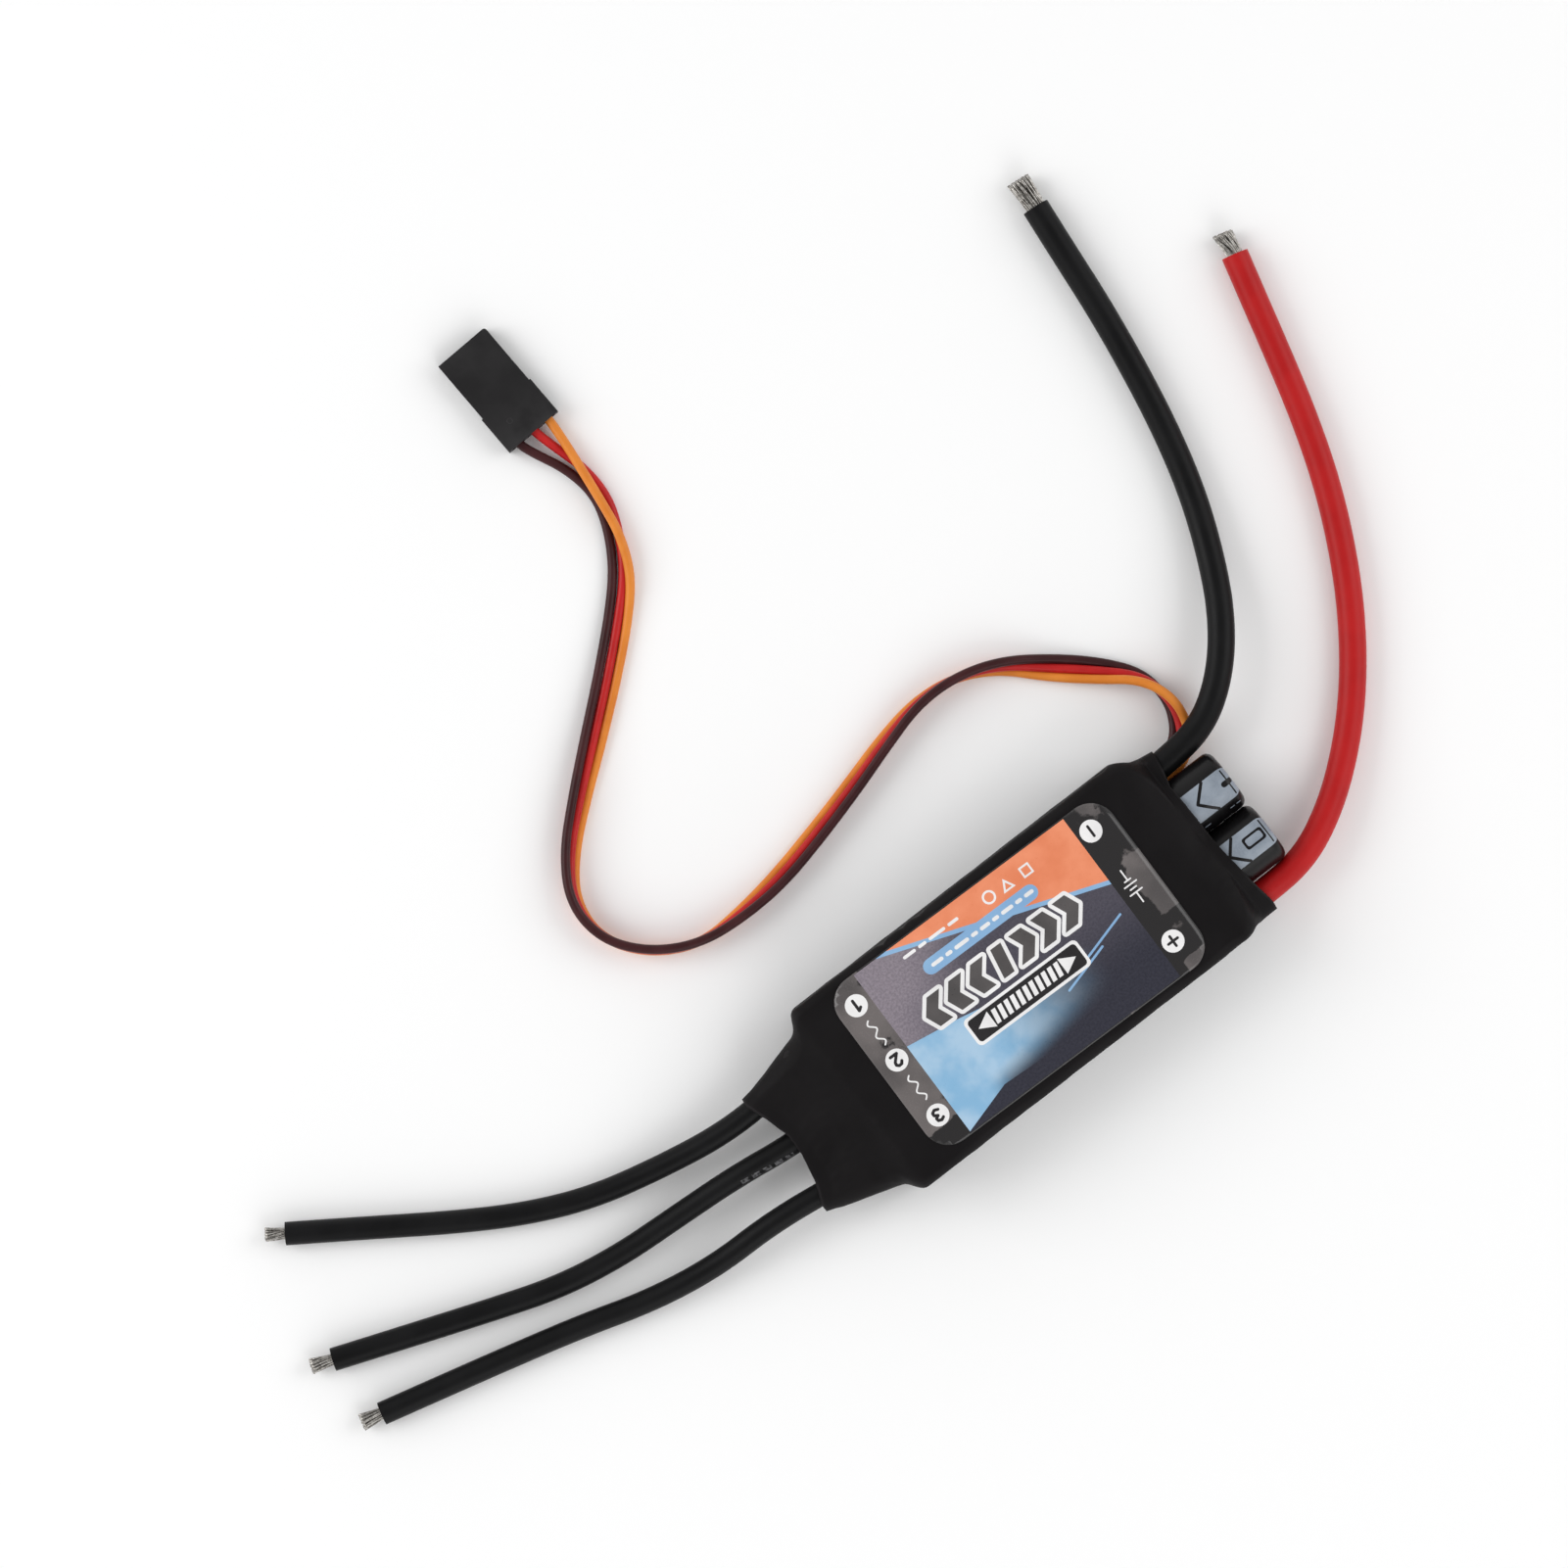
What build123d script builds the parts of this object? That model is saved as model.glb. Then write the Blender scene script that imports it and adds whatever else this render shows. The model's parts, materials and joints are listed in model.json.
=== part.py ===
from build123d import *
import math
import os

# Electronic speed controller for a brushless motor.
# Millimetres. +X is the battery end, -X the motor end, +Z up through the label.
# The origin is under the middle of the body, on the surface it rests on.

os.makedirs("parts", exist_ok=True)

# ---------------------------------------------------------------- driving sizes
BODY_LENGTH = 74.0          # motor end of the sleeve to the capacitors' far ends
SLEEVE_WIDTH = 28.0
SLEEVE_HEIGHT = 11.0
SLEEVE_WALL = 0.5
SLEEVE_EDGE_R = 1.1
MOTOR_END_X = -BODY_LENGTH / 2
BATTERY_END_X = 31.6

LABEL_LENGTH = 42.8
LABEL_WIDTH = 25.0
LABEL_THICK = 0.12
LABEL_CENTRE = (0.85, 0.2)
LABEL_TURN = -1.0           # degrees: the label is stuck on a little askew
LABEL_CORNER_R = 3.5

PLATE_THICK = 2.0           # heat-spreader plate
PAD_THICK = 0.5
CHIP_HEIGHT = 1.0
BOARD_THICK = 1.6
CONTROL_BOARD_THICK = 1.0

CAP_DIA = 8.0
CAP_WRAP = 0.15
CAP_LENGTH = 11.5
CAP_CENTRES_Y = (3.6, -4.72)
CAP_LEAD_DIA = 0.6
CAP_LEAD_PITCH = 3.5

BATTERY_WIRE_DIA = 3.5
BATTERY_CORE_DIA = 2.0
MOTOR_WIRE_DIA = 3.0
MOTOR_CORE_DIA = 1.5
SERVO_WIRE_DIA = 1.2
SERVO_CORE_DIA = 0.5
RIBBON_PITCH = 1.25         # between neighbouring wires of the servo lead

PLUG_LENGTH = 14.1
PLUG_WIDTH = 7.7
PLUG_COLLAR_WIDTH = 8.1
PLUG_COLLAR_LENGTH = 5.4
PLUG_HEIGHT = 2.5
PLUG_PITCH = 2.54
PLUG_REAR = (-5.68, 91.75)
PLUG_LEAN = 2.7             # degrees that the plug leans from +Y towards -X

# ---------------------------------------------------------------- stack heights
PLATE_Z = SLEEVE_HEIGHT - SLEEVE_WALL - PLATE_THICK
PAD_Z = PLATE_Z - PAD_THICK
CHIP_Z = PAD_Z - CHIP_HEIGHT
POWER_BOARD_Z = CHIP_Z - BOARD_THICK
CONTROL_BOARD_Z = 1.9
CONTROL_TOP_Z = CONTROL_BOARD_Z + CONTROL_BOARD_THICK
CAP_LEAD_Z = POWER_BOARD_Z - CAP_LEAD_DIA / 2

POWER_BOARD_X = (-24.3, 25.2)
CONTROL_BOARD_X = (-17.0, 21.5)
CAP_REAR_X = BODY_LENGTH / 2 - CAP_LENGTH


def save(piece, label):
    """Labels a finished part and writes its STEP file."""
    piece.label = label
    export_step(piece, f"parts/{label}.step")


# ---------------------------------------------------------------- heat-shrink sleeve
# Each section is x, half width on -Y, half width on +Y, bottom z, top z.
SLEEVE_SECTIONS = [
    (MOTOR_END_X, 9.1, 9.1, 2.4, 7.2),
    (-26.3, 12.1, 11.8, 0.9, 10.2),
    (-24.7, 14.0, 14.0, 0.0, SLEEVE_HEIGHT),
    (26.4, 14.0, 14.0, 0.0, SLEEVE_HEIGHT),
    (28.6, 13.3, 12.4, 0.0, 10.5),
    (BATTERY_END_X, 13.1, 12.2, 0.0, 10.2),
]
MOTOR_MOUTH_R = 16.7
MOTOR_MOUTH_X = -34.6
BATTERY_MOUTH_R = 76.0
BATTERY_MOUTH_X = 30.4
SLEEVE_MOUTHS = [
    (MOTOR_MOUTH_X - MOTOR_MOUTH_R, MOTOR_MOUTH_R),
    (BATTERY_MOUTH_X + BATTERY_MOUTH_R, BATTERY_MOUTH_R),
]


def sleeve_loft(inset, overrun):
    """The sleeve's form, made smaller all round by inset and longer at both ends by overrun."""
    with BuildPart() as form:
        for x, left, right, bottom, top in SLEEVE_SECTIONS:
            end = overrun if x > 0 else -overrun
            at = x + end if x in (MOTOR_END_X, BATTERY_END_X) else x
            width = left + right - 2 * inset
            height = top - bottom - 2 * inset
            with BuildSketch(Plane.YZ.offset(at)):
                with Locations(((right - left) / 2, (top + bottom) / 2)):
                    RectangleRounded(width, height, SLEEVE_EDGE_R - inset)
        loft(ruled=True)
    return form.part


with BuildPart() as heat_shrink_sleeve:
    add(sleeve_loft(0, 0))
    add(sleeve_loft(SLEEVE_WALL, 0.01), mode=Mode.SUBTRACT)
    # shrinking draws both open ends back into shallow curves between the wires
    for centre_x, radius in SLEEVE_MOUTHS:
        with BuildSketch(Plane.XY.offset(-1)):
            with Locations((centre_x, 0)):
                Circle(radius)
        extrude(amount=SLEEVE_HEIGHT + 2, mode=Mode.SUBTRACT)
save(heat_shrink_sleeve.part, "heat_shrink_sleeve")

with BuildPart() as label:
    with BuildSketch(Plane.XY.offset(SLEEVE_HEIGHT)):
        with Locations(LABEL_CENTRE):
            RectangleRounded(LABEL_LENGTH, LABEL_WIDTH, LABEL_CORNER_R, rotation=LABEL_TURN)
    extrude(amount=LABEL_THICK)
save(label.part, "label")

# ---------------------------------------------------------------- power stage
PLATE_X = (-23.0, 19.5)
PLATE_CORNER_R = 2.0
PLATE_BEVEL = 0.6
PAD_WIDTH = 21.0
PAD_MARGIN = 1.0            # that the pad stays inside the plate's ends, and its corner radius
BOARD_CORNER_R = 0.8
SLEEVE_SLACK = 0.2          # between the boards' edges and the sleeve
INNER_HALF_WIDTH = SLEEVE_WIDTH / 2 - SLEEVE_WALL - SLEEVE_SLACK

with BuildPart() as heatsink_plate:
    with BuildSketch(Plane.XY.offset(PLATE_Z)):
        with Locations((sum(PLATE_X) / 2, 0)):
            RectangleRounded(PLATE_X[1] - PLATE_X[0], 2 * INNER_HALF_WIDTH, PLATE_CORNER_R)
    extrude(amount=PLATE_THICK)
    chamfer(heatsink_plate.edges().group_by(Axis.Z)[-1], PLATE_BEVEL)
save(heatsink_plate.part, "heatsink_plate")

with BuildPart() as thermal_pad:
    with BuildSketch(Plane.XY.offset(PAD_Z)):
        with Locations((sum(PLATE_X) / 2, 0)):
            RectangleRounded(PLATE_X[1] - PLATE_X[0] - 2 * PAD_MARGIN, PAD_WIDTH, PAD_MARGIN)
    extrude(amount=PAD_THICK)
save(thermal_pad.part, "thermal_pad")

with BuildPart() as power_board:
    with BuildSketch(Plane.XY.offset(POWER_BOARD_Z)):
        with Locations((sum(POWER_BOARD_X) / 2, 0)):
            RectangleRounded(POWER_BOARD_X[1] - POWER_BOARD_X[0], 2 * INNER_HALF_WIDTH, BOARD_CORNER_R)
    extrude(amount=BOARD_THICK)
save(power_board.part, "power_board")

CHIP_BEVEL_SHARE = 0.1      # of a package's smallest side


def chips(label, size, spots, base_z):
    """One node of equal rectangular packages with bevelled top edges, standing at base_z."""
    width, depth, height = size
    with BuildPart() as group:
        for x, y in spots:
            with BuildSketch(Plane.XY.offset(base_z)):
                with Locations((x, y)):
                    Rectangle(width, depth)
        extrude(amount=height)
        chamfer(group.edges().group_by(Axis.Z)[-1], min(size) * CHIP_BEVEL_SHARE)
    save(group.part, label)


MOSFET_PITCH = 6.4
MOSFET_FIRST_X = -19.8
MOSFET_ROWS_Y = (-5.2, 5.2)
mosfet_spots = [(MOSFET_FIRST_X + i * MOSFET_PITCH, y) for i in range(6) for y in MOSFET_ROWS_Y]
chips("mosfets", (5.0, 6.0, CHIP_HEIGHT), mosfet_spots, CHIP_Z)
chips("bulk_ceramics", (2.5, 3.2, 1.4), [(22.8, y) for y in (-9, -4.5, 0, 4.5, 9)], CHIP_Z)

# ---------------------------------------------------------------- control board
CONTROL_BOARD_WIDTH = 23.0

with BuildPart() as control_board:
    with BuildSketch(Plane.XY.offset(CONTROL_BOARD_Z)):
        with Locations((sum(CONTROL_BOARD_X) / 2, 0)):
            RectangleRounded(CONTROL_BOARD_X[1] - CONTROL_BOARD_X[0], CONTROL_BOARD_WIDTH, BOARD_CORNER_R)
    extrude(amount=CONTROL_BOARD_THICK)
save(control_board.part, "control_board")

chips("microcontroller", (7.0, 7.0, 0.9), [(2, 0)], CONTROL_TOP_Z)
chips("gate_drivers", (3.0, 3.0, 0.8), [(-7, y) for y in (-7, 0, 7)], CONTROL_TOP_Z)
chips("bec_regulator", (5.0, 4.0, 1.2), [(10.5, -7)], CONTROL_TOP_Z)
chips("crystal", (3.2, 2.5, 0.7), [(9, 2.5)], CONTROL_TOP_Z)
resistor_spots = [(x, y) for x in (-3.5, -1, 7) for y in (-9.5, 8)]
capacitor_spots = [(x, y) for x in (-11, 12.5) for y in (-2.5, 2.5, 6)]
chips("chip_resistors", (1.6, 0.8, 0.4), resistor_spots, CONTROL_TOP_Z)
chips("chip_capacitors", (1.25, 2.0, 0.8), capacitor_spots, CONTROL_TOP_Z)

INDUCTOR_SIDE = 4.0
INDUCTOR_HEIGHT = 1.8
INDUCTOR_SPOT = (3.5, -7.5)
with BuildPart() as bec_inductor:
    with BuildSketch(Plane.XY.offset(CONTROL_TOP_Z)):
        with Locations(INDUCTOR_SPOT):
            RectangleRounded(INDUCTOR_SIDE, INDUCTOR_SIDE, 0.8)
    extrude(amount=INDUCTOR_HEIGHT)
    with BuildSketch(Plane.XY.offset(CONTROL_TOP_Z + INDUCTOR_HEIGHT)):
        with Locations(INDUCTOR_SPOT):
            Circle(1.5)
    extrude(amount=-0.3, mode=Mode.SUBTRACT)
save(bec_inductor.part, "bec_inductor")

HEADER_X = -14.5
HEADER_PITCH = 1.27
HEADER_PINS = 10
PIN_SIDE = 0.4
SPACER_WIDTH = 2.0
SPACER_LIFT = 0.4           # above the control board
SPACER_HEIGHT = 1.5
with BuildPart() as header_pins:
    with BuildSketch(Plane.XY.offset(CONTROL_TOP_Z)):
        with Locations((HEADER_X, 0)):
            with GridLocations(1, HEADER_PITCH, 1, HEADER_PINS):
                Rectangle(PIN_SIDE, PIN_SIDE)
    extrude(amount=POWER_BOARD_Z - CONTROL_TOP_Z)
save(header_pins.part, "header_pins")

with BuildPart() as header_spacer:
    with BuildSketch(Plane.XY.offset(CONTROL_TOP_Z + SPACER_LIFT)):
        with Locations((HEADER_X, 0)):
            RectangleRounded(SPACER_WIDTH, HEADER_PINS * HEADER_PITCH, 0.3)
            with GridLocations(1, HEADER_PITCH, 1, HEADER_PINS):
                Rectangle(PIN_SIDE, PIN_SIDE, mode=Mode.SUBTRACT)
    extrude(amount=SPACER_HEIGHT)
save(header_spacer.part, "header_spacer")

# ---------------------------------------------------------------- input capacitors
CAP_RADIUS = CAP_DIA / 2
CAP_CURL_R = 0.9            # rolled edge of the can
BUNG_LENGTH = 1.0
CAN_WALL = 0.3
WRAP_LIP = 1.2              # how far the wrap folds in over each end
BUNG_R = CAP_RADIUS - CAP_CURL_R - CAN_WALL
CAP_LEAD_LENGTH = 5.0       # behind the can

for number, cap_y in enumerate(CAP_CENTRES_Y, start=1):
    axis_plane = Plane.YZ.offset(CAP_REAR_X)
    axis_spot = (cap_y, CAP_LEAD_Z)

    with BuildPart() as capacitor_can:
        with BuildSketch(axis_plane.offset(CAP_WRAP)):
            with Locations(axis_spot):
                Circle(CAP_RADIUS)
        extrude(amount=CAP_LENGTH - 2 * CAP_WRAP)
        ends = capacitor_can.edges().filter_by(GeomType.CIRCLE)
        fillet(ends, CAP_CURL_R)
        with BuildSketch(axis_plane.offset(CAP_WRAP)):
            with Locations(axis_spot):
                Circle(BUNG_R)
        extrude(amount=BUNG_LENGTH, mode=Mode.SUBTRACT)
    save(capacitor_can.part, f"capacitor_can_{number}")

    with BuildPart() as capacitor_wrap:
        with BuildSketch(axis_plane):
            with Locations(axis_spot):
                Circle(CAP_RADIUS + CAP_WRAP)
        extrude(amount=CAP_LENGTH)
        ends = capacitor_wrap.edges().filter_by(GeomType.CIRCLE)
        fillet(ends, CAP_CURL_R + CAP_WRAP)
        with BuildSketch(axis_plane):
            with Locations(axis_spot):
                Circle(CAP_RADIUS - WRAP_LIP)
        extrude(amount=CAP_LENGTH, mode=Mode.SUBTRACT)
        add(capacitor_can.part, mode=Mode.SUBTRACT)
    save(capacitor_wrap.part, f"capacitor_wrap_{number}")

    lead_spots = [(cap_y + side * CAP_LEAD_PITCH / 2, CAP_LEAD_Z) for side in (-1, 1)]
    with BuildPart() as capacitor_bung:
        with BuildSketch(axis_plane.offset(CAP_WRAP)):
            with Locations(axis_spot):
                Circle(BUNG_R)
            with Locations(lead_spots):
                Circle(CAP_LEAD_DIA / 2, mode=Mode.SUBTRACT)
        extrude(amount=BUNG_LENGTH)
    save(capacitor_bung.part, f"capacitor_bung_{number}")

    with BuildPart() as capacitor_leads:
        with BuildSketch(axis_plane.offset(CAP_WRAP + BUNG_LENGTH)):
            with Locations(lead_spots):
                Circle(CAP_LEAD_DIA / 2)
        extrude(amount=-(CAP_WRAP + BUNG_LENGTH + CAP_LEAD_LENGTH))
    save(capacitor_leads.part, f"capacitor_leads_{number}")

# ---------------------------------------------------------------- free wires
# Each route is a list of corner points from the inner end outwards. The tube runs straight between
# them and turns each corner on the largest arc that its two runs allow.
ARC_SHARE = 0.45            # of the shorter run, used up by an arc


def tube(route, diameter):
    """A round tube along straight runs joined by tangent arcs, with its length and radii."""
    points = [Vector(*point) for point in route]
    runs = [end - start for start, end in zip(points, points[1:])]
    radii = []
    for run_in, run_out in zip(runs, runs[1:]):
        half_turn = math.radians(run_in.get_angle(run_out)) / 2
        shorter = min(run_in.length, run_out.length)
        radii.append(ARC_SHARE * shorter / math.tan(half_turn))
    with BuildPart() as wire:
        with BuildLine() as path:
            FilletPolyline(*points, radius=radii)
        with BuildSketch(Plane(origin=points[0], z_dir=runs[0])):
            Circle(diameter / 2)
        sweep()
    return wire.part, path.wires()[0], min(radii)


def save_wire(label, route, diameter):
    """Writes a wire's tube and prints its length, tightest arc and how true its volume is."""
    part, line, tightest = tube(route, diameter)
    true_volume = math.pi * diameter**2 / 4 * line.length
    print(f"{label}: length {line.length:.1f}, tightest arc {tightest:.1f}, "
          f"volume ratio {part.volume / true_volume:.4f}")
    save(part, label)


def core_rod(label, face_point, direction, diameter, length):
    """The bare, tinned end of a conductor, standing out of its insulation's end face."""
    with BuildPart() as rod:
        with BuildSketch(Plane(origin=face_point, z_dir=direction)):
            Circle(diameter / 2)
        extrude(amount=length)
    save(rod.part, label)


BATTERY_WIRE_Z = POWER_BOARD_Z - BATTERY_CORE_DIA / 2
MOTOR_WIRE_Z = POWER_BOARD_Z - MOTOR_CORE_DIA / 2
BATTERY_FLOOR = BATTERY_WIRE_DIA / 2
MOTOR_FLOOR = MOTOR_WIRE_DIA / 2

BATTERY_ROUTES = {
    "negative": [
        (25.6, 9.7, BATTERY_WIRE_Z), (31.5, 9.8, 4.9), (38.5, 10.6, 5.0), (44.4, 14.6, 4.7),
        (49.2, 20.5, 3.7), (53.0, 28.0, 2.5), (55.9, 35.6, 1.8), (58.0, 44.0, BATTERY_FLOOR),
        (59.5, 52.5, BATTERY_FLOOR), (60.6, 60.5, BATTERY_FLOOR), (61.3, 68.3, BATTERY_FLOOR),
        (62.0, 75.4, BATTERY_FLOOR),
    ],
    "positive": [
        (25.6, -10.7, BATTERY_WIRE_Z), (31.5, -10.9, 4.5), (38.5, -10.5, 4.1), (45.0, -7.45, 3.1),
        (51.2, -2.8, 2.2), (57.0, 3.1, 1.8), (62.2, 10.2, BATTERY_FLOOR), (66.4, 17.6, BATTERY_FLOOR),
        (70.0, 25.6, BATTERY_FLOOR), (72.8, 34.0, BATTERY_FLOOR), (75.2, 43.0, BATTERY_FLOOR),
        (77.0, 50.2, BATTERY_FLOOR), (78.3, 55.2, BATTERY_FLOOR),
    ],
}
MOTOR_ROUTES = {
    "a": [
        (-24.6, 8.2, MOTOR_WIRE_Z), (-33.0, 7.0, 4.7), (-41.0, 6.85, 4.1), (-50.0, 8.35, 2.7),
        (-59.0, 10.5, 1.7), (-67.0, 14.0, MOTOR_FLOOR), (-75.0, 18.8, MOTOR_FLOOR),
        (-84.0, 24.9, MOTOR_FLOOR), (-92.7, 30.7, MOTOR_FLOOR),
    ],
    "b": [
        (-24.6, 0.0, MOTOR_WIRE_Z), (-34.0, 0.35, 4.7), (-43.0, 1.6, 3.9), (-52.0, 2.1, 2.5),
        (-61.0, 2.6, 1.6), (-69.5, 4.15, MOTOR_FLOOR), (-78.5, 7.3, MOTOR_FLOOR),
        (-88.0, 10.8, MOTOR_FLOOR), (-97.7, 14.4, MOTOR_FLOOR),
    ],
    "c": [
        (-24.6, -8.2, MOTOR_WIRE_Z), (-34.0, -6.9, 4.7), (-43.0, -5.8, 4.0), (-52.0, -5.85, 2.6),
        (-61.0, -4.4, 1.7), (-70.0, -1.6, MOTOR_FLOOR), (-79.0, 0.75, MOTOR_FLOOR),
        (-88.0, 3.0, MOTOR_FLOOR), (-97.0, 5.2, MOTOR_FLOOR),
    ],
}
BATTERY_TIP_LENGTHS = {"negative": 4.0, "positive": 3.0}
MOTOR_TIP_LENGTHS = {"a": 2.6, "b": 3.1, "c": 3.0}
INNER_CORE_LENGTH = 6.5

power_wires = [
    ("battery", BATTERY_ROUTES, BATTERY_WIRE_DIA, BATTERY_CORE_DIA, BATTERY_TIP_LENGTHS),
    ("motor", MOTOR_ROUTES, MOTOR_WIRE_DIA, MOTOR_CORE_DIA, MOTOR_TIP_LENGTHS),
]
for family, routes, wire_dia, core_dia, tip_lengths in power_wires:
    for name, route in routes.items():
        save_wire(f"{family}_wire_{name}", route, wire_dia)
        inwards = Vector(*route[0]) - Vector(*route[1])
        outwards = Vector(*route[-1]) - Vector(*route[-2])
        core_rod(f"{family}_core_{name}", route[0], inwards, core_dia, INNER_CORE_LENGTH)
        core_rod(f"{family}_tip_{name}", route[-1], outwards, core_dia, tip_lengths[name])


# ---------------------------------------------------------------- servo lead
# The lead is a flat ribbon of three wires that lies, stands on edge and turns over as it goes.
# Each point is x and y of the middle wire, the ribbon's twist in degrees, and how far it is lifted
# clear of the surface. At twist 0 the ground wire is on the left of travel, at -90 it is lowest.
RIBBON_ROUTE = [
    (22.0, 8.0, 0, 0.70), (26.6, 8.35, 0, 0.68), (31.2, 8.9, -4, 0.62), (34.3, 9.75, -20, 0.15),
    (36.4, 11.95, -48, 0), (37.45, 15.7, -76, 0), (36.3, 20.2, -113, 0), (32.4, 24.1, -160, 0),
    (27.7, 28.2, -195, 0), (22.9, 32.3, -245, 0), (17.4, 34.6, -271, 0), (11.5, 34.95, -284, 0),
    (5.3, 33.5, -300, 0), (-1.5, 31.45, -306, 0), (-8.5, 29.6, -309, 0), (-15.5, 28.0, -309, 0),
    (-22.0, 27.35, -292, 0), (-28.6, 27.5, -267, 0), (-34.4, 30.6, -264, 0), (-38.2, 35.6, -269, 0),
    (-38.3, 41.5, -285, 0), (-34.9, 46.7, -302, 0), (-29.4, 51.6, -314, 0), (-23.5, 56.4, -333, 0),
    (-17.2, 61.6, -346, 0), (-11.4, 66.8, -357, 0),
]
# Beyond the ribbon the wires part, and the signal wire crosses over the supply wire.
SERVO_TAILS = {
    "ground": [
        (-8.3, 71.9, 0.6), (-5.65, 76.5, 0.6), (-4.4, 80.9, 0.6), (-5.3, 85.6, 0.7), (-7.2, 89.4, 1.1),
    ],
    "supply": [
        (-7.5, 70.7, 0.6), (-4.85, 75.2, 0.6), (-3.25, 79.6, 0.6), (-3.4, 84.3, 0.6), (-4.65, 88.4, 0.85),
    ],
    "signal": [
        (-6.9, 70.0, 1.3), (-4.95, 74.9, 1.8), (-4.3, 79.6, 1.9), (-3.8, 84.2, 1.9), (-3.35, 88.6, 1.7),
    ],
}
SERVO_SIDES = {"ground": 1, "supply": 0, "signal": -1}
WIRE_IN_PLUG = (0.4, 3.2)   # last two points of each wire, measured in from the plug's rear

lean = math.radians(PLUG_LEAN)
PLUG_AXIS = Vector(-math.sin(lean), math.cos(lean), 0)
PLUG_ACROSS = Vector(math.cos(lean), math.sin(lean), 0)


def plug_point(side, depth, height=PLUG_HEIGHT / 2):
    """A point on one contact's line: side 1 is the ground wire's, on -X, and depth runs to the mouth."""
    rear = Vector(*PLUG_REAR, height)
    return rear - PLUG_ACROSS * (side * PLUG_PITCH) + PLUG_AXIS * depth


def ribbon_strand(side):
    """The corner points of one wire of the ribbon, stepped off from the middle wire's."""
    strand = []
    last = len(RIBBON_ROUTE) - 1
    for i, (x, y, twist, lift) in enumerate(RIBBON_ROUTE):
        before = RIBBON_ROUTE[max(i - 1, 0)]
        after = RIBBON_ROUTE[min(i + 1, last)]
        heading = math.atan2(after[1] - before[1], after[0] - before[0])
        turn = math.radians(twist)
        sideways = side * RIBBON_PITCH * math.cos(turn)
        height = SERVO_WIRE_DIA / 2 + lift + RIBBON_PITCH * (abs(math.sin(turn)) + side * math.sin(turn))
        strand.append((x - sideways * math.sin(heading), y + sideways * math.cos(heading), height))
    return strand


servo_starts = []
for name, side in SERVO_SIDES.items():
    entry = [tuple(plug_point(side, depth)) for depth in WIRE_IN_PLUG]
    route = ribbon_strand(side) + SERVO_TAILS[name] + entry
    save_wire(f"servo_wire_{name}", route, SERVO_WIRE_DIA)
    servo_starts.append(route[0])

SOLDER_END_LENGTH = 3.0
SOLDER_END_Z = CONTROL_BOARD_Z - SERVO_CORE_DIA / 2
with BuildPart() as servo_solder_ends:
    for start_x, start_y, _ in servo_starts:
        with BuildSketch(Plane(origin=(start_x, start_y, SOLDER_END_Z), z_dir=(-1, 0, 0))):
            Circle(SERVO_CORE_DIA / 2)
    extrude(amount=SOLDER_END_LENGTH)
save(servo_solder_ends.part, "servo_solder_ends")

# ---------------------------------------------------------------- servo plug
plug_plane = Plane(origin=(*PLUG_REAR, 0), x_dir=PLUG_ACROSS, z_dir=(0, 0, 1))
CAVITY_WIDTH = 1.9
CAVITY_HEIGHT = 1.7
MOUTH_DEPTH = 3.0           # the mouth narrows to guide the mating pins
MOUTH_SIDE = 1.0
LATCH_WINDOW = (1.5, 3.0)   # in the underside, one for each contact's spring
LATCH_PLACE = 7.4           # from the rear
PLUG_CORNER_R = 0.4

with BuildPart() as servo_plug_housing:
    with BuildSketch(plug_plane):
        with Locations((0, PLUG_LENGTH / 2)):
            Rectangle(PLUG_WIDTH, PLUG_LENGTH)
        with Locations((0, PLUG_COLLAR_LENGTH / 2)):
            Rectangle(PLUG_COLLAR_WIDTH, PLUG_COLLAR_LENGTH)
    extrude(amount=PLUG_HEIGHT)
    fillet(servo_plug_housing.edges().filter_by(Axis.Z).group_by(Axis.Y)[-1], PLUG_CORNER_R)
    rear_face = Plane(origin=plug_plane.origin + Vector(0, 0, PLUG_HEIGHT / 2), x_dir=-PLUG_ACROSS,
                      z_dir=PLUG_AXIS)
    with BuildSketch(rear_face):
        with GridLocations(PLUG_PITCH, 1, 3, 1):
            Rectangle(CAVITY_WIDTH, CAVITY_HEIGHT)
    extrude(amount=PLUG_LENGTH - MOUTH_DEPTH, mode=Mode.SUBTRACT)
    with BuildSketch(rear_face):
        with GridLocations(PLUG_PITCH, 1, 3, 1):
            Rectangle(MOUTH_SIDE, MOUTH_SIDE)
    extrude(amount=PLUG_LENGTH, mode=Mode.SUBTRACT)
    with BuildSketch(plug_plane.offset(PLUG_HEIGHT / 2)):
        with Locations((0, LATCH_PLACE)):
            with GridLocations(PLUG_PITCH, 1, 3, 1):
                Rectangle(*LATCH_WINDOW)
    extrude(amount=-PLUG_HEIGHT, mode=Mode.SUBTRACT)
save(servo_plug_housing.part, "servo_plug_housing")

CONTACT_SIDE = 1.5
CONTACT_HOLE = 0.8
CONTACT_FLOOR = 0.6         # solid metal between the crimp and the socket
CRIMP_DIA = 1.3
CRIMP_LENGTH = 2.4
SOCKET_LENGTH = PLUG_LENGTH - MOUTH_DEPTH - WIRE_IN_PLUG[1] - CRIMP_LENGTH


def plug_section(side, depth):
    """The plane across one contact's line at a depth from the plug's rear."""
    return Plane(origin=plug_point(side, depth), x_dir=PLUG_ACROSS, z_dir=PLUG_AXIS)


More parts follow.
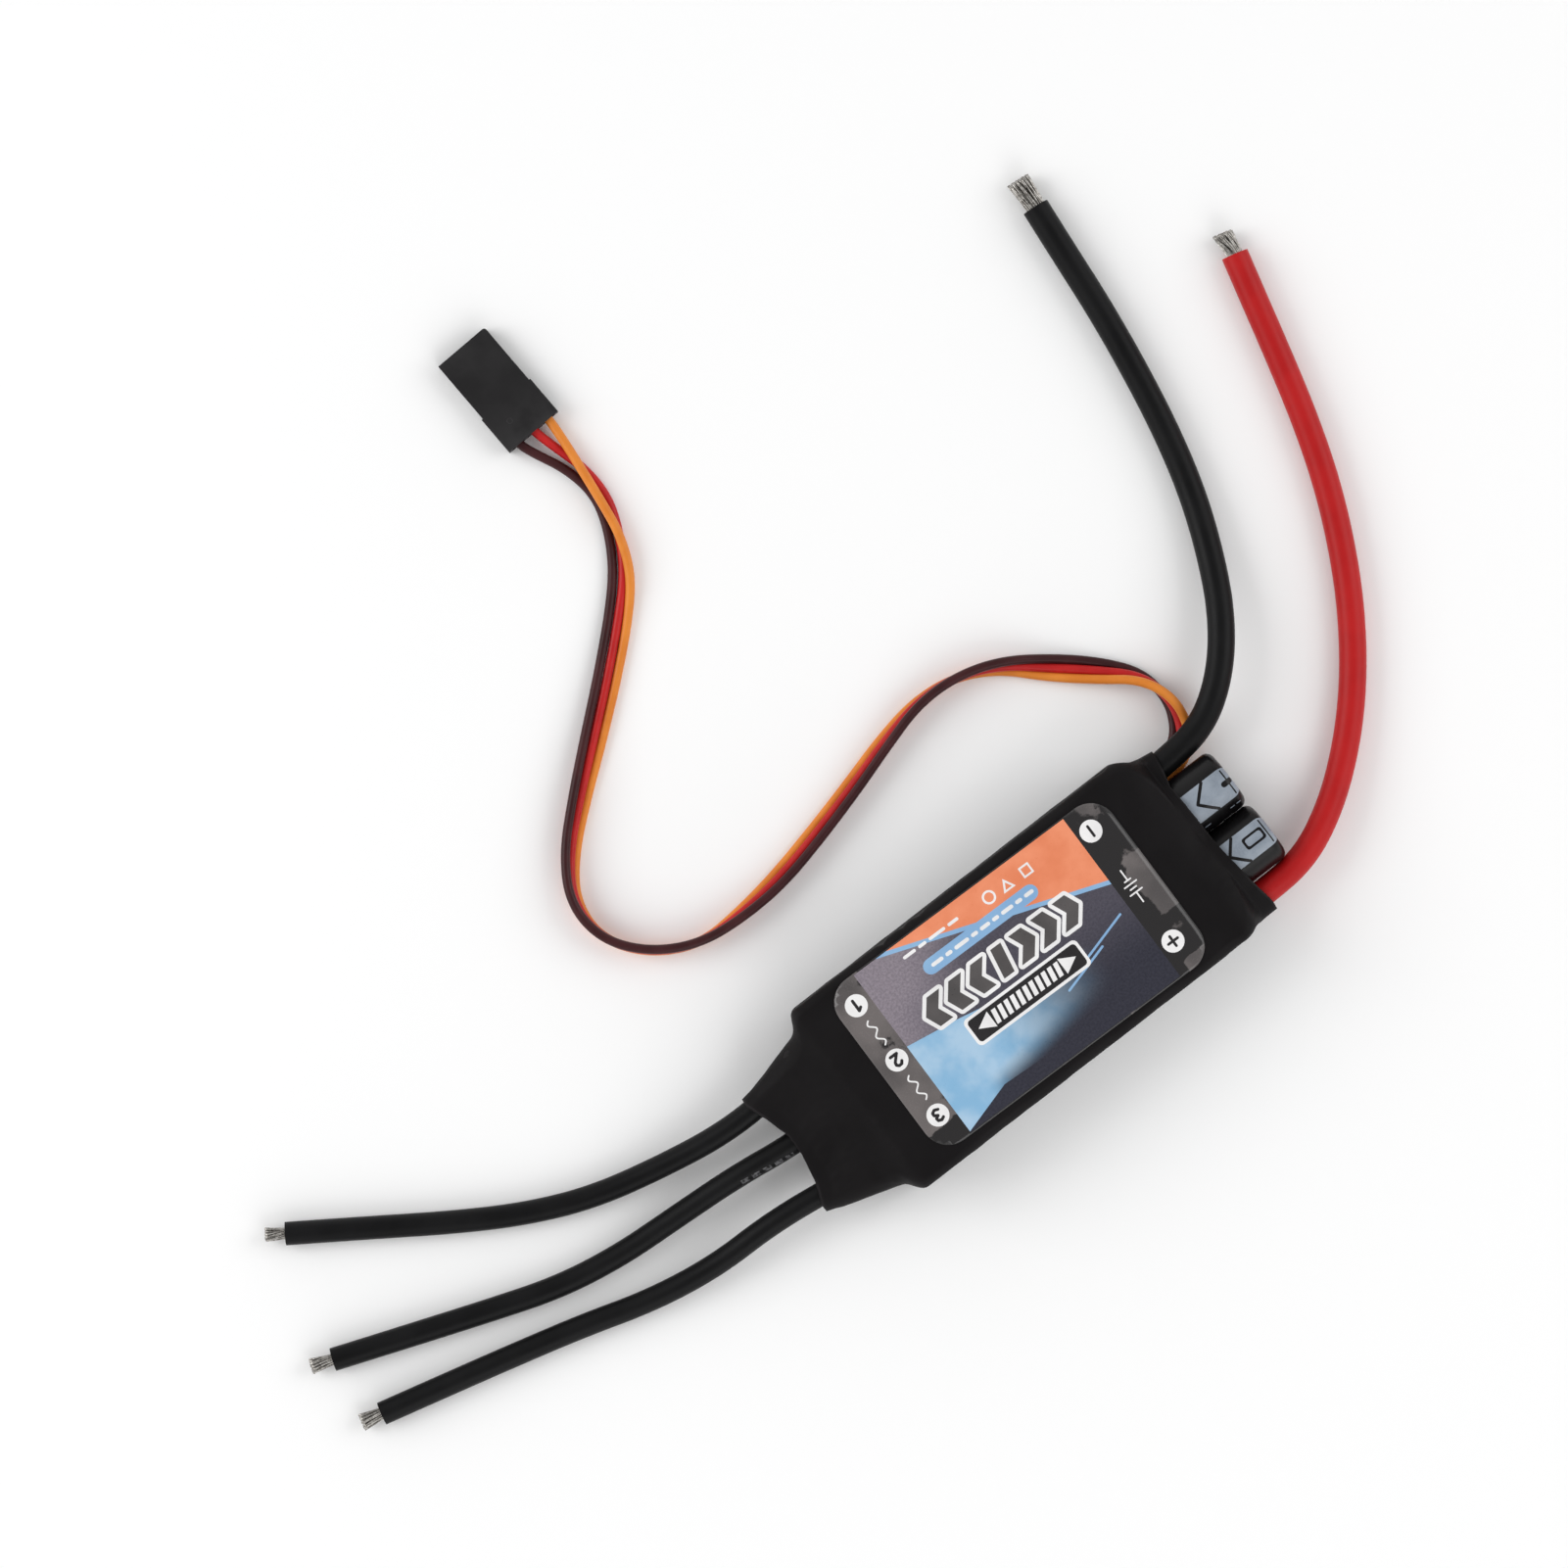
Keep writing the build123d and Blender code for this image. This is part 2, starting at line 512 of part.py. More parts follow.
for name, side in SERVO_SIDES.items():
    socket_plane = plug_section(side, WIRE_IN_PLUG[1] + CRIMP_LENGTH)
    with BuildPart() as contact:
        with BuildSketch(plug_section(side, WIRE_IN_PLUG[1])):
            Circle(CRIMP_DIA / 2)
        extrude(amount=CRIMP_LENGTH)
        with BuildSketch(socket_plane):
            Rectangle(CONTACT_SIDE, CONTACT_SIDE)
        extrude(amount=SOCKET_LENGTH)
        with BuildSketch(socket_plane.offset(CONTACT_FLOOR)):
            Rectangle(CONTACT_HOLE, CONTACT_HOLE)
        extrude(amount=SOCKET_LENGTH, mode=Mode.SUBTRACT)
    save(contact.part, f"servo_contact_{name}")
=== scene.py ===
import json
import math

import bmesh
import bpy
import mathutils
import numpy as np
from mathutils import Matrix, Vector


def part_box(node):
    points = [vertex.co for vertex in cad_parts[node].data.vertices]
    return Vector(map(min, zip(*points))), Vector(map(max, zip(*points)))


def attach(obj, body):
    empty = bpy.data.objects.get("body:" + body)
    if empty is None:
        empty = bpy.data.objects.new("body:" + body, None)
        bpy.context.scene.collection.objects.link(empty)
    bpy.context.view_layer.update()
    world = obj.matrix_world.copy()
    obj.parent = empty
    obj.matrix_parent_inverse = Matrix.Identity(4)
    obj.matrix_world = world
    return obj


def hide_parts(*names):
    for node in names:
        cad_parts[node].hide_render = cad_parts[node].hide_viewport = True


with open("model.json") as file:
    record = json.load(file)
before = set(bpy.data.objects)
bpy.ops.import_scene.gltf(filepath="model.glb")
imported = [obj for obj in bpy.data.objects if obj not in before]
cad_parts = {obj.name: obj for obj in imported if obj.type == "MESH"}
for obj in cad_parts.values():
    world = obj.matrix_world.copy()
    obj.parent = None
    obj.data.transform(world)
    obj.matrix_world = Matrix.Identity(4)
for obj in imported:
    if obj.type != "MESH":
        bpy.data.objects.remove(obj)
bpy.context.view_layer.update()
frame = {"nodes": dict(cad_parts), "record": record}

MM = 0.001
scene = bpy.context.scene


# ======== camera and studio
VIEW_CENTRE = (-7.9 * MM, 37.1 * MM)    # what the camera looks straight down at
VIEW_WIDTH = 197.65 * MM
VIEW_TURN = math.radians(-37.74)        # the body lies askew in the picture
CAMERA_HEIGHT = 0.9
SENSOR = 36.0
FOCUS_HEIGHT = 6 * MM                   # the level at which the view is VIEW_WIDTH wide
LIGHT_DISTANCE = 0.9
LIGHT_SIZE = 0.6
LIGHTS = {                              # each light's direction from the view's middle, and its power
    "key": ((-0.9, 0.9, 0.9), 3.6),
    "fill": ((1.0, -0.4, 0.8), 2.2),
    "rim": ((-0.2, -1.1, 0.8), 1.7),
}
HORIZON_LIGHT = 1.0
ZENITH_LIGHT = 0.45
DIMMEST_FROM = 0.9                      # the share of full height from which it is dimmest
FLOOR_SIZE = 4


def placed(name, data):
    """A new object in the scene."""
    made = bpy.data.objects.new(name, data)
    scene.collection.objects.link(made)
    return made


def make_camera():
    data = bpy.data.cameras.new("camera")
    data.sensor_width = SENSOR
    data.lens = SENSOR * (CAMERA_HEIGHT - FOCUS_HEIGHT) / VIEW_WIDTH
    data.clip_start = 0.01
    scene.camera = placed("camera", data)
    scene.camera.location = (*VIEW_CENTRE, CAMERA_HEIGHT)
    scene.camera.rotation_euler = (0, 0, VIEW_TURN)


def make_light(name, direction, power):
    """A square softbox that faces the middle of the object from a direction."""
    data = bpy.data.lights.new(name, "AREA")
    data.shape = "SQUARE"
    data.size = LIGHT_SIZE
    data.energy = power
    light = placed(name, data)
    away = Vector(direction).normalized()
    light.location = Vector((*VIEW_CENTRE, 0)) + away * LIGHT_DISTANCE
    light.rotation_euler = away.to_track_quat("Z", "Y").to_euler()


def make_world():
    """Surroundings that are bright near the floor and dim overhead."""
    scene.world = bpy.data.worlds.new("studio")
    nodes = Nodes(scene.world)
    direction = nodes.add("ShaderNodeSeparateXYZ", {0: nodes.places["Generated"]})
    strength = nodes.ramp(direction.outputs["Z"], 0, DIMMEST_FROM, HORIZON_LIGHT, ZENITH_LIGHT)
    nodes.put(nodes.tree.nodes["Background"], {"Color": (1, 1, 1, 1), "Strength": strength})


def make_studio():
    make_world()
    for name, (direction, power) in LIGHTS.items():
        make_light(name, direction, power)
    scene.view_settings.view_transform = "Standard"

    bpy.ops.mesh.primitive_plane_add(size=FLOOR_SIZE, location=(0, 0, 0))
    floor = bpy.context.object
    floor.name = "studio_floor"
    floor.data.materials.append(material("floor_paper").finish({
        "Base Color": (0.94, 0.94, 0.94, 1), "Roughness": 0.9, "Specular IOR Level": 0.1}))


# ======== materials
def tone(red, green, blue):
    """A linear colour from the 0 to 255 values that it should show."""
    shares = [value / 255 for value in (red, green, blue)]
    return (*(s / 12.92 if s <= 0.04045 else ((s + 0.055) / 1.055) ** 2.4 for s in shares), 1)


class Nodes:
    """Short calls for the nodes of a material or of the world. Places and sizes are in millimetres, and
    the colours to mix are three numbers from 0 to 255."""

    def __init__(self, owner):
        owner.use_nodes = True
        self.owner = owner
        self.tree = owner.node_tree
        self.places = self.add("ShaderNodeTexCoord").outputs

    def add(self, kind, inputs=None, **settings):
        """A node with its settings, and with its inputs linked or set."""
        node = self.tree.nodes.new(kind)
        for key, value in settings.items():
            setattr(node, key, value)
        self.put(node, inputs or {})
        return node

    def put(self, node, inputs):
        """Links a node's inputs, or sets their values."""
        for key, value in inputs.items():
            if isinstance(value, bpy.types.NodeSocket):
                self.tree.links.new(value, node.inputs[key])
            else:
                node.inputs[key].default_value = value

    def finish(self, inputs):
        """Completes the material with the inputs of its shader."""
        self.put(self.tree.nodes["Principled BSDF"], inputs)
        return self.owner

    def math(self, operation, a, b=0.0):
        return self.add("ShaderNodeMath", {0: a, 1: b}, operation=operation).outputs[0]

    def times(self, a, b):
        return self.math("MULTIPLY", a, b)

    def plus(self, a, b):
        return self.math("ADD", a, b)

    def minus(self, a, b):
        return self.math("SUBTRACT", a, b)

    def axis(self, letter):
        """One object coordinate."""
        split = self.add("ShaderNodeSeparateXYZ", {0: self.places["Object"]})
        return self.times(split.outputs[letter], 1 / MM)

    def noise(self, grain, detail, roughness=0.5, stretch=None):
        """Noise from 0 to 1 whose lumps are about one grain wide."""
        place = self.places["Object"]
        if stretch:
            place = self.add("ShaderNodeMapping", {"Vector": place, "Scale": stretch}).outputs[0]
        node = self.add("ShaderNodeTexNoise", {
            "Vector": place, "Scale": 1 / (grain * MM), "Detail": detail, "Roughness": roughness})
        return node.outputs["Fac"]

    def ramp(self, value, low, high, out_low=0.0, out_high=1.0):
        node = self.add("ShaderNodeMapRange", {
            "Value": value, "From Min": low, "From Max": high, "To Min": out_low, "To Max": out_high},
            interpolation_type="SMOOTHSTEP")
        return node.outputs["Result"]

    def mix(self, share, first, second):
        """A colour part way from the first to the second."""
        first, second = [tone(*c) if isinstance(c, tuple) else c for c in (first, second)]
        return self.add("ShaderNodeMix", {0: share, 6: first, 7: second}, data_type="RGBA").outputs[2]

    def bump(self, height, depth):
        """A normal from a height of 0 to 1 that stands for a depth."""
        node = self.add("ShaderNodeBump", {"Strength": 1.0, "Distance": depth * MM, "Height": height})
        return node.outputs["Normal"]


def material(name):
    return Nodes(bpy.data.materials.new(name))


def surface(name, dark, light, roughness, grain, depth, patch, metallic=0.0, coat=0.0, spec=0.5,
            stretch=None, edge_wear_and_highlight=None, marked=False):
    """A finished material: a colour that drifts between two tones over patches, a fine grain in the
    surface, and a roughness that varies a little with both. The paler tone for sharp edges stands for
    rubbing and for a painted highlight where the edges catch the light."""
    nodes = material(name)
    broad = nodes.noise(patch, 4)
    fine = nodes.noise(grain, 2, stretch=stretch)
    colour = nodes.mix(nodes.ramp(broad, 0.3, 0.7), dark, light)
    # Paler tone on sharp edges: partly rubbing, partly a painted highlight where the edges catch the light.
    if edge_wear_and_highlight:
        edge = nodes.add("ShaderNodeNewGeometry").outputs["Pointiness"]
        patchy_share = nodes.times(nodes.ramp(edge, 0.505, 0.56), nodes.ramp(broad, 0.35, 0.65))
        colour = nodes.mix(patchy_share, colour, edge_wear_and_highlight)
    if marked:
        colour = with_dashes(nodes, colour)
    rough = nodes.plus(nodes.ramp(fine, 0.2, 0.8, roughness - 0.05, roughness + 0.05),
                       nodes.ramp(broad, 0.3, 0.7, -0.04, 0.04))
    return nodes.finish({"Base Color": colour, "Roughness": rough, "Normal": nodes.bump(fine, depth),
                         "Metallic": metallic, "Coat Weight": coat, "Specular IOR Level": spec})


MARKS_START_X = -35.3
MARKS_END_X, MARKS_END_Y = -42.9, 0.6
MARKS_SLOPE = -0.155        # the row follows the wire, which lies a little askew
MARKS_PITCH = 0.8


def with_dashes(nodes, black):
    """Black insulation with a row of grey dashes near the sleeve, where real wire has its print."""
    x = nodes.axis("X")
    line = nodes.times(nodes.plus(x, -MARKS_END_X), MARKS_SLOPE)
    off = nodes.math("ABSOLUTE", nodes.minus(nodes.minus(nodes.axis("Y"), line), MARKS_END_Y))
    across = nodes.ramp(off, 0.30, 0.22)
    dashes = nodes.ramp(nodes.math("PINGPONG", x, MARKS_PITCH), 0.22, 0.28)
    within = nodes.times(nodes.ramp(x, MARKS_END_X - 0.05, MARKS_END_X + 0.05),
                         nodes.ramp(x, MARKS_START_X, MARKS_START_X - 0.1))
    patchy_share = nodes.ramp(nodes.noise(0.5, 3), 0.35, 0.6)
    share = nodes.times(nodes.times(across, dashes), nodes.times(within, patchy_share))
    return nodes.mix(share, black, (96, 96, 98))


def film(nodes, colour, roughness=0.32, coat=0.25):
    """Finishes a material as ink under a clear film."""
    fine = nodes.noise(0.35, 3)
    rough = nodes.ramp(fine, 0.2, 0.8, roughness - 0.06, roughness + 0.06)
    return nodes.finish({"Base Color": colour, "Roughness": rough, "Normal": nodes.bump(fine, 0.006),
                         "Coat Weight": coat, "Coat Roughness": 0.12, "Specular IOR Level": 0.3})


def printed(name, dark, light):
    nodes = material(name)
    return film(nodes, nodes.mix(nodes.ramp(nodes.noise(5, 5), 0.3, 0.7), dark, light))


# Where grey reflections are painted on the label's glossy black ends: the ramps in x and y that bound each
# patch, and its weight.
PAINTED_REFLECTION_PATCHES = [
    ([("X", -14.0, -16.0), ("Y", -9.6, -8.4)], 0.26),                    # most of the motor end
    ([("X", 18.6, 20.4), ("Y", -5.4, -4.6), ("Y", 5.5, 2.5)], 0.22),     # beside the battery sign
    ([("X", 17.5, 18.5), ("Y", -10.6, -11.3)], 0.25),                    # the battery end's corner
    ([("X", 17.0, 18.0), ("Y", 4.5, 9.0)], 0.10),                        # its other corner, thinly
]


def band_with_painted_reflections(name):
    """The label's glossy black ends, with painted reflections in crisp-edged grey patches."""
    nodes = material(name)
    place = {letter: nodes.axis(letter) for letter in "XY"}
    pull = None
    for edges, weight in PAINTED_REFLECTION_PATCHES:
        *outer, area = [nodes.ramp(place[letter], low, high) for letter, low, high in edges]
        for edge in outer[::-1]:
            area = nodes.times(edge, area)
        share = nodes.times(area, weight)
        pull = share if pull is None else nodes.plus(pull, share)
    # Painted reflection: grey patches of reflected light, mixed into the black ink's colour.
    reflection_mask = nodes.ramp(nodes.plus(nodes.noise(6, 6, roughness=0.62), pull), 0.60, 0.66)
    reflection_tone = nodes.mix(nodes.ramp(nodes.noise(9, 3), 0.35, 0.65), (78, 74, 74), (108, 102, 101))
    return film(nodes, nodes.mix(reflection_mask, (30, 28, 29), reflection_tone), roughness=0.25, coat=0.5)


def picture(name, glowing):
    """The printed picture's ground: grey violet at the motor end and dark blue at the battery end.
    Its glowing part is light blue, and fades into the dark towards the battery end."""
    nodes = material(name)
    x = nodes.axis("X")
    y = nodes.axis("Y")
    speckle = nodes.ramp(nodes.noise(0.3, 2), 0.3, 0.7)
    cloud = nodes.times(nodes.noise(6, 4), 6.0)
    along = nodes.plus(nodes.minus(x, nodes.times(y, 0.9)), cloud)
    violet = nodes.mix(speckle, (122, 114, 123), (142, 133, 142))
    low = nodes.mix(speckle, (38, 38, 50), (48, 48, 60))
    high = nodes.mix(speckle, (68, 65, 76), (78, 75, 86))
    dark = nodes.mix(nodes.ramp(y, -8.0, 2.0), low, high)
    ground = nodes.mix(nodes.ramp(along, -18.0, -2.0), violet, dark)
    if glowing:
        drift = nodes.times(nodes.noise(7, 2), 3.0)
        reach = nodes.ramp(nodes.plus(x, drift), 12.0, -7.0)
        lower_edge = nodes.ramp(nodes.minus(y, nodes.times(x, 0.12)), -9.8, -6.0)
        below = nodes.times(nodes.ramp(x, -11.5, -7.5), nodes.minus(1.0, lower_edge))
        amount = nodes.times(reach, nodes.minus(1.0, below))
        pale = nodes.mix(nodes.ramp(nodes.noise(5, 3), 0.35, 0.65), (132, 178, 212), (168, 198, 222))
        ground = nodes.mix(amount, ground, pale)
    return film(nodes, ground)


# Each finish has a dark and a light tone, a roughness, the size and depth of its grain and the size of
# its patches in millimetres, and then what it has besides.
BLACK_SILICONE = ((12, 12, 13), (18, 18, 19), 0.42, 0.25, 0.008, 6)
FINISHES = {
    "silicone_black": (*BLACK_SILICONE, {"spec": 0.13}),
    "silicone_marked": (*BLACK_SILICONE, {"spec": 0.13, "marked": True}),
    "silicone_red": ((170, 20, 22), (182, 26, 27), 0.42, 0.25, 0.008, 6, {"spec": 0.2}),
    "servo_brown": ((52, 22, 24), (66, 30, 32), 0.36, 0.2, 0.005, 4, {"spec": 0.2}),
    "servo_red": ((176, 26, 28), (194, 34, 34), 0.36, 0.2, 0.005, 4, {"spec": 0.25}),
    "servo_orange": ((212, 122, 42), (226, 138, 54), 0.36, 0.2, 0.005, 4, {"spec": 0.25}),
    # The paler edge tone of the sleeve and the plug is wear and also a painted edge highlight.
    "heat_shrink": ((16, 14, 15), (21, 19, 20), 0.58, 0.12, 0.005, 8, {"spec": 0.10, "edge_wear_and_highlight": (38, 36, 37)}),
    "plug_plastic": ((28, 27, 28), (34, 33, 34), 0.5, 0.15, 0.008, 5, {"spec": 0.2, "edge_wear_and_highlight": (52, 51, 52)}),
    "tinned_metal": ((138, 134, 129), (196, 193, 188), 0.26, 0.3, 0.006, 0.5, {"metallic": 1.0}),
    "gold_pins": ((214, 178, 110), (232, 200, 140), 0.25, 0.2, 0.004, 2.4, {"metallic": 1.0}),
    "plate_aluminium": ((198, 200, 204), (216, 218, 222), 0.38, 0.15, 0.006, 1.8,
                        {"metallic": 1.0, "stretch": (0.1, 1, 1)}),
    "can_aluminium": ((190, 192, 196), (212, 214, 218), 0.32, 0.2, 0.003, 2.4, {"metallic": 1.0}),
    "pad_silicone": ((130, 150, 172), (150, 168, 188), 0.7, 0.2, 0.01, 3, {}),
    "board_laminate": ((14, 62, 44), (22, 76, 52), 0.38, 0.3, 0.008, 4, {"coat": 0.3}),
    "chip_plastic": ((30, 30, 31), (42, 42, 43), 0.6, 0.08, 0.006, 2, {}),
    "ceramic_chip": ((160, 136, 108), (180, 154, 126), 0.45, 0.1, 0.004, 1, {}),
    "ferrite": ((76, 76, 80), (96, 96, 100), 0.7, 0.1, 0.01, 1, {}),
    "capacitor_wrap": ((12, 11, 12), (17, 16, 17), 0.32, 0.3, 0.003, 3, {"coat": 0.06, "spec": 0.2}),
    "wrap_stripe": ((128, 137, 148), (146, 155, 166), 0.30, 0.3, 0.003, 3, {"coat": 0.15, "spec": 0.3}),
    "bung_rubber": ((26, 26, 26), (40, 40, 40), 0.8, 0.1, 0.01, 1, {}),
}
INKS = {
    "label_orange": ((224, 128, 88), (236, 146, 108)),
    "label_blue": ((128, 168, 208), (140, 180, 216)),
    "label_white": ((226, 225, 225), (238, 237, 237)),
    "label_grey": ((74, 71, 71), (88, 84, 84)),
    "label_ink": ((28, 26, 28), (36, 34, 36)),
}
MATERIALS = {name: surface(name, *row[:-1], **row[-1]) for name, row in FINISHES.items()}
MATERIALS.update({name: printed(name, *tones) for name, tones in INKS.items()})
MATERIALS["label_black"] = band_with_painted_reflections("label_black")
MATERIALS["label_art"] = picture("label_art", False)
MATERIALS["label_glow"] = picture("label_glow", True)


def finish_cad_nodes():
    """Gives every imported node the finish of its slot."""
    for row in frame["record"]["subparts"]:
        node = frame["nodes"][row["node"]]
        made = MATERIALS.get(row["material_slot"])
        if made:
            node.data.materials.clear()
            node.data.materials.append(made)


# ======== shared helpers
UP = Vector((0, 0, 1))


def looped(items):
    """Each item with the one after it, and the last with the first."""
    return zip(items, items[1:] + items[:1])


def neighbours(items):
    """Each item between the ones before and after it. An end stands in for what it lacks."""
    return zip(items[:1] + items[:-1], items, items[1:] + items[-1:])


def turns(count):
    """Evenly spaced directions all the way round."""
    return np.linspace(0, 2 * math.pi, count, endpoint=False)


def arc(centre, radius, directions):
    return [(centre[0] + radius * math.cos(a), centre[1] + radius * math.sin(a)) for a in directions]


def lumps(*spot, scale=1):
    """Smooth noise from -1 to 1 at a place."""
    return mathutils.noise.noise(Vector(spot) * scale)


def added(points, spots):
    """Adds spots to the points, and gives their numbers."""
    first = len(points)
    points += spots
    return list(range(first, len(points)))


def joined_rings(pairs):
    """Four-sided faces between each ring of point numbers and the one after it."""
    return [(a, b, d, c) for ring, after in pairs for (a, b), (c, d) in zip(looped(ring), looped(after))]


def mesh_object(name, points, faces, finishes, numbers=None):
    """An object of its own from points in millimetres, one finish number to a face."""
    mesh = bpy.data.meshes.new(name)
    mesh.from_pydata([[c * MM for c in p] for p in points], [], faces)
    for finish in finishes:
        mesh.materials.append(MATERIALS[finish])
    if numbers is not None:
        mesh.polygons.foreach_set("material_index", numbers)
    mesh.polygons.foreach_set("use_smooth", [True] * len(mesh.polygons))
    return placed(name, mesh)


def opened(mesh):
    work = bmesh.new()
    work.from_mesh(mesh)
    return work


def shut(work, mesh):
    """Faces an edited surface outwards, and writes it back to its mesh."""
    bmesh.ops.recalc_face_normals(work, faces=work.faces)
    work.to_mesh(mesh)
    work.free()


def weld(piece):
    """Joins points that lie on each other, and drops stray ones."""
    work = opened(piece.data)
    bmesh.ops.remove_doubles(work, verts=work.verts, dist=0.001 * MM)
    bmesh.ops.delete(work, geom=[v for v in work.verts if not v.link_faces], context="VERTS")
    shut(work, piece.data)


def stand_in(piece, node):
    """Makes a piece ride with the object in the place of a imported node."""
    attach(piece, "root")
    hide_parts(node)


# ======== free wires
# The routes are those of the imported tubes, in millimetres, from the inner end outwards.
BATTERY_DIA = 3.5
MOTOR_DIA = 3.0
SERVO_DIA = 1.2
RIBBON_PITCH = 1.25
BATTERY_WIRE_Z = 4.4
MOTOR_WIRE_Z = 4.65


def laid(raised, resting, diameter):
    """A route from its raised points, and from the x and y of those where the wire rests."""
    return raised + [(x, y, diameter / 2) for x, y in resting]


BATTERY_ROUTES = {
    "negative": laid([
        (25.6, 9.7, BATTERY_WIRE_Z), (31.5, 9.8, 4.9), (38.5, 10.6, 5.0), (44.4, 14.6, 4.7),
        (49.2, 20.5, 3.7), (53.0, 28.0, 2.5), (55.9, 35.6, 1.8),
    ], [(58.0, 44.0), (59.5, 52.5), (60.6, 60.5), (61.3, 68.3), (62.0, 75.4)], BATTERY_DIA),
    "positive": laid([
        (25.6, -10.7, BATTERY_WIRE_Z), (31.5, -10.9, 4.5), (38.5, -10.5, 4.1), (45.0, -7.45, 3.1),
        (51.2, -2.8, 2.2), (57.0, 3.1, 1.8),
    ], [(62.2, 10.2), (66.4, 17.6), (70.0, 25.6), (72.8, 34.0), (75.2, 43.0), (77.0, 50.2), (78.3, 55.2)],
        BATTERY_DIA),
}
MOTOR_ROUTES = {
    "a": laid([
        (-24.6, 8.2, MOTOR_WIRE_Z), (-33.0, 7.0, 4.7), (-41.0, 6.85, 4.1), (-50.0, 8.35, 2.7),
        (-59.0, 10.5, 1.7),
    ], [(-67.0, 14.0), (-75.0, 18.8), (-84.0, 24.9), (-92.7, 30.7)], MOTOR_DIA),
    "b": laid([
        (-24.6, 0.0, MOTOR_WIRE_Z), (-34.0, 0.35, 4.7), (-43.0, 1.6, 3.9), (-52.0, 2.1, 2.5),
        (-61.0, 2.6, 1.6),
    ], [(-69.5, 4.15), (-78.5, 7.3), (-88.0, 10.8), (-97.7, 14.4)], MOTOR_DIA),
    "c": laid([
        (-24.6, -8.2, MOTOR_WIRE_Z), (-34.0, -6.9, 4.7), (-43.0, -5.8, 4.0), (-52.0, -5.85, 2.6),
        (-61.0, -4.4, 1.7),
    ], [(-70.0, -1.6), (-79.0, 0.75), (-88.0, 3.0), (-97.0, 5.2)], MOTOR_DIA),
}
# The servo lead: x and y of the middle wire, the ribbon's twist in degrees, and its lift.
RIBBON_ROUTE = [
    (22.0, 8.0, 0, 0.70), (26.6, 8.35, 0, 0.68), (31.2, 8.9, -4, 0.62), (34.3, 9.75, -20, 0.15),
    (36.4, 11.95, -48, 0), (37.45, 15.7, -76, 0), (36.3, 20.2, -113, 0), (32.4, 24.1, -160, 0),
    (27.7, 28.2, -195, 0), (22.9, 32.3, -245, 0), (17.4, 34.6, -271, 0), (11.5, 34.95, -284, 0),
    (5.3, 33.5, -300, 0), (-1.5, 31.45, -306, 0), (-8.5, 29.6, -309, 0), (-15.5, 28.0, -309, 0),
    (-22.0, 27.35, -292, 0), (-28.6, 27.5, -267, 0), (-34.4, 30.6, -264, 0), (-38.2, 35.6, -269, 0),
    (-38.3, 41.5, -285, 0), (-34.9, 46.7, -302, 0), (-29.4, 51.6, -314, 0), (-23.5, 56.4, -333, 0),
    (-17.2, 61.6, -346, 0), (-11.4, 66.8, -357, 0),
]
SERVO_TAILS = {
    "ground": [
        (-8.3, 71.9, 0.6), (-5.65, 76.5, 0.6), (-4.4, 80.9, 0.6), (-5.3, 85.6, 0.7), (-7.2, 89.4, 1.1),
    ],
    "supply": [
        (-7.5, 70.7, 0.6), (-4.85, 75.2, 0.6), (-3.25, 79.6, 0.6), (-3.4, 84.3, 0.6), (-4.65, 88.4, 0.85),
    ],
    "signal": [
        (-6.9, 70.0, 1.3), (-4.95, 74.9, 1.8), (-4.3, 79.6, 1.9), (-3.8, 84.2, 1.9), (-3.35, 88.6, 1.7),
    ],
}
SERVO_WIRES = {"ground": (1, "servo_brown"), "supply": (0, "servo_red"), "signal": (-1, "servo_orange")}
PLUG_REAR = (-5.68, 91.75)
PLUG_HEIGHT = 2.5
PLUG_PITCH = 2.54
PLUG_LEAN = math.radians(2.7)
WIRE_IN_PLUG = (0.4, 3.2)


def plug_point(side, depth, height=PLUG_HEIGHT / 2):
    """A point on one contact's line of the plug, in millimetres."""
    along = Vector((-math.sin(PLUG_LEAN), math.cos(PLUG_LEAN), 0))
    across = Vector((math.cos(PLUG_LEAN), math.sin(PLUG_LEAN), 0))
    return Vector((*PLUG_REAR, height)) - across * (side * PLUG_PITCH) + along * depth


def ribbon_strand(side):
    """The points of one wire of the ribbon, stepped off from the middle wire's."""
    strand = []
    for before, (x, y, twist, lift), after in neighbours(RIBBON_ROUTE):
        heading = math.atan2(after[1] - before[1], after[0] - before[0])
        turn = math.radians(twist)
        sideways = side * RIBBON_PITCH * math.cos(turn)
        height = SERVO_DIA / 2 + lift + RIBBON_PITCH * (abs(math.sin(turn)) + side * math.sin(turn))
        strand.append((x - sideways * math.sin(heading), y + sideways * math.cos(heading), height))
    return strand


def spline_object(name, route, diameter):
    """A smooth wire: one NURBS spline with the route's points as its control points."""
    curve = bpy.data.curves.new(name, "CURVE")
    curve.dimensions = "3D"
    curve.resolution_u = 16
    curve.bevel_depth = diameter / 2 * MM
    curve.bevel_resolution = 14
    curve.use_fill_caps = True
    spline = curve.splines.new("NURBS")
    spline.points.add(len(route) - 1)
    for point, place in zip(spline.points, route):
        point.co = (*(c * MM for c in place), 1)
    spline.order_u = 3
    spline.use_endpoint_u = True
    return placed(name, curve)


def spline_length(wire):
    """The length of a wire's own line, in metres."""
    plain = wire.data.copy()
    plain.bevel_depth = 0
    holder = bpy.data.objects.new("measured", plain)
    mesh = bpy.data.meshes.new_from_object(holder)
    places = [v.co.copy() for v in mesh.vertices]
    bpy.data.objects.remove(holder)
    bpy.data.meshes.remove(mesh)
    bpy.data.curves.remove(plain)
    return sum((b - a).length for a, b in zip(places, places[1:]))


# ======== flat artwork
def disc(centre, radius):
    return arc(centre, radius, turns(32))


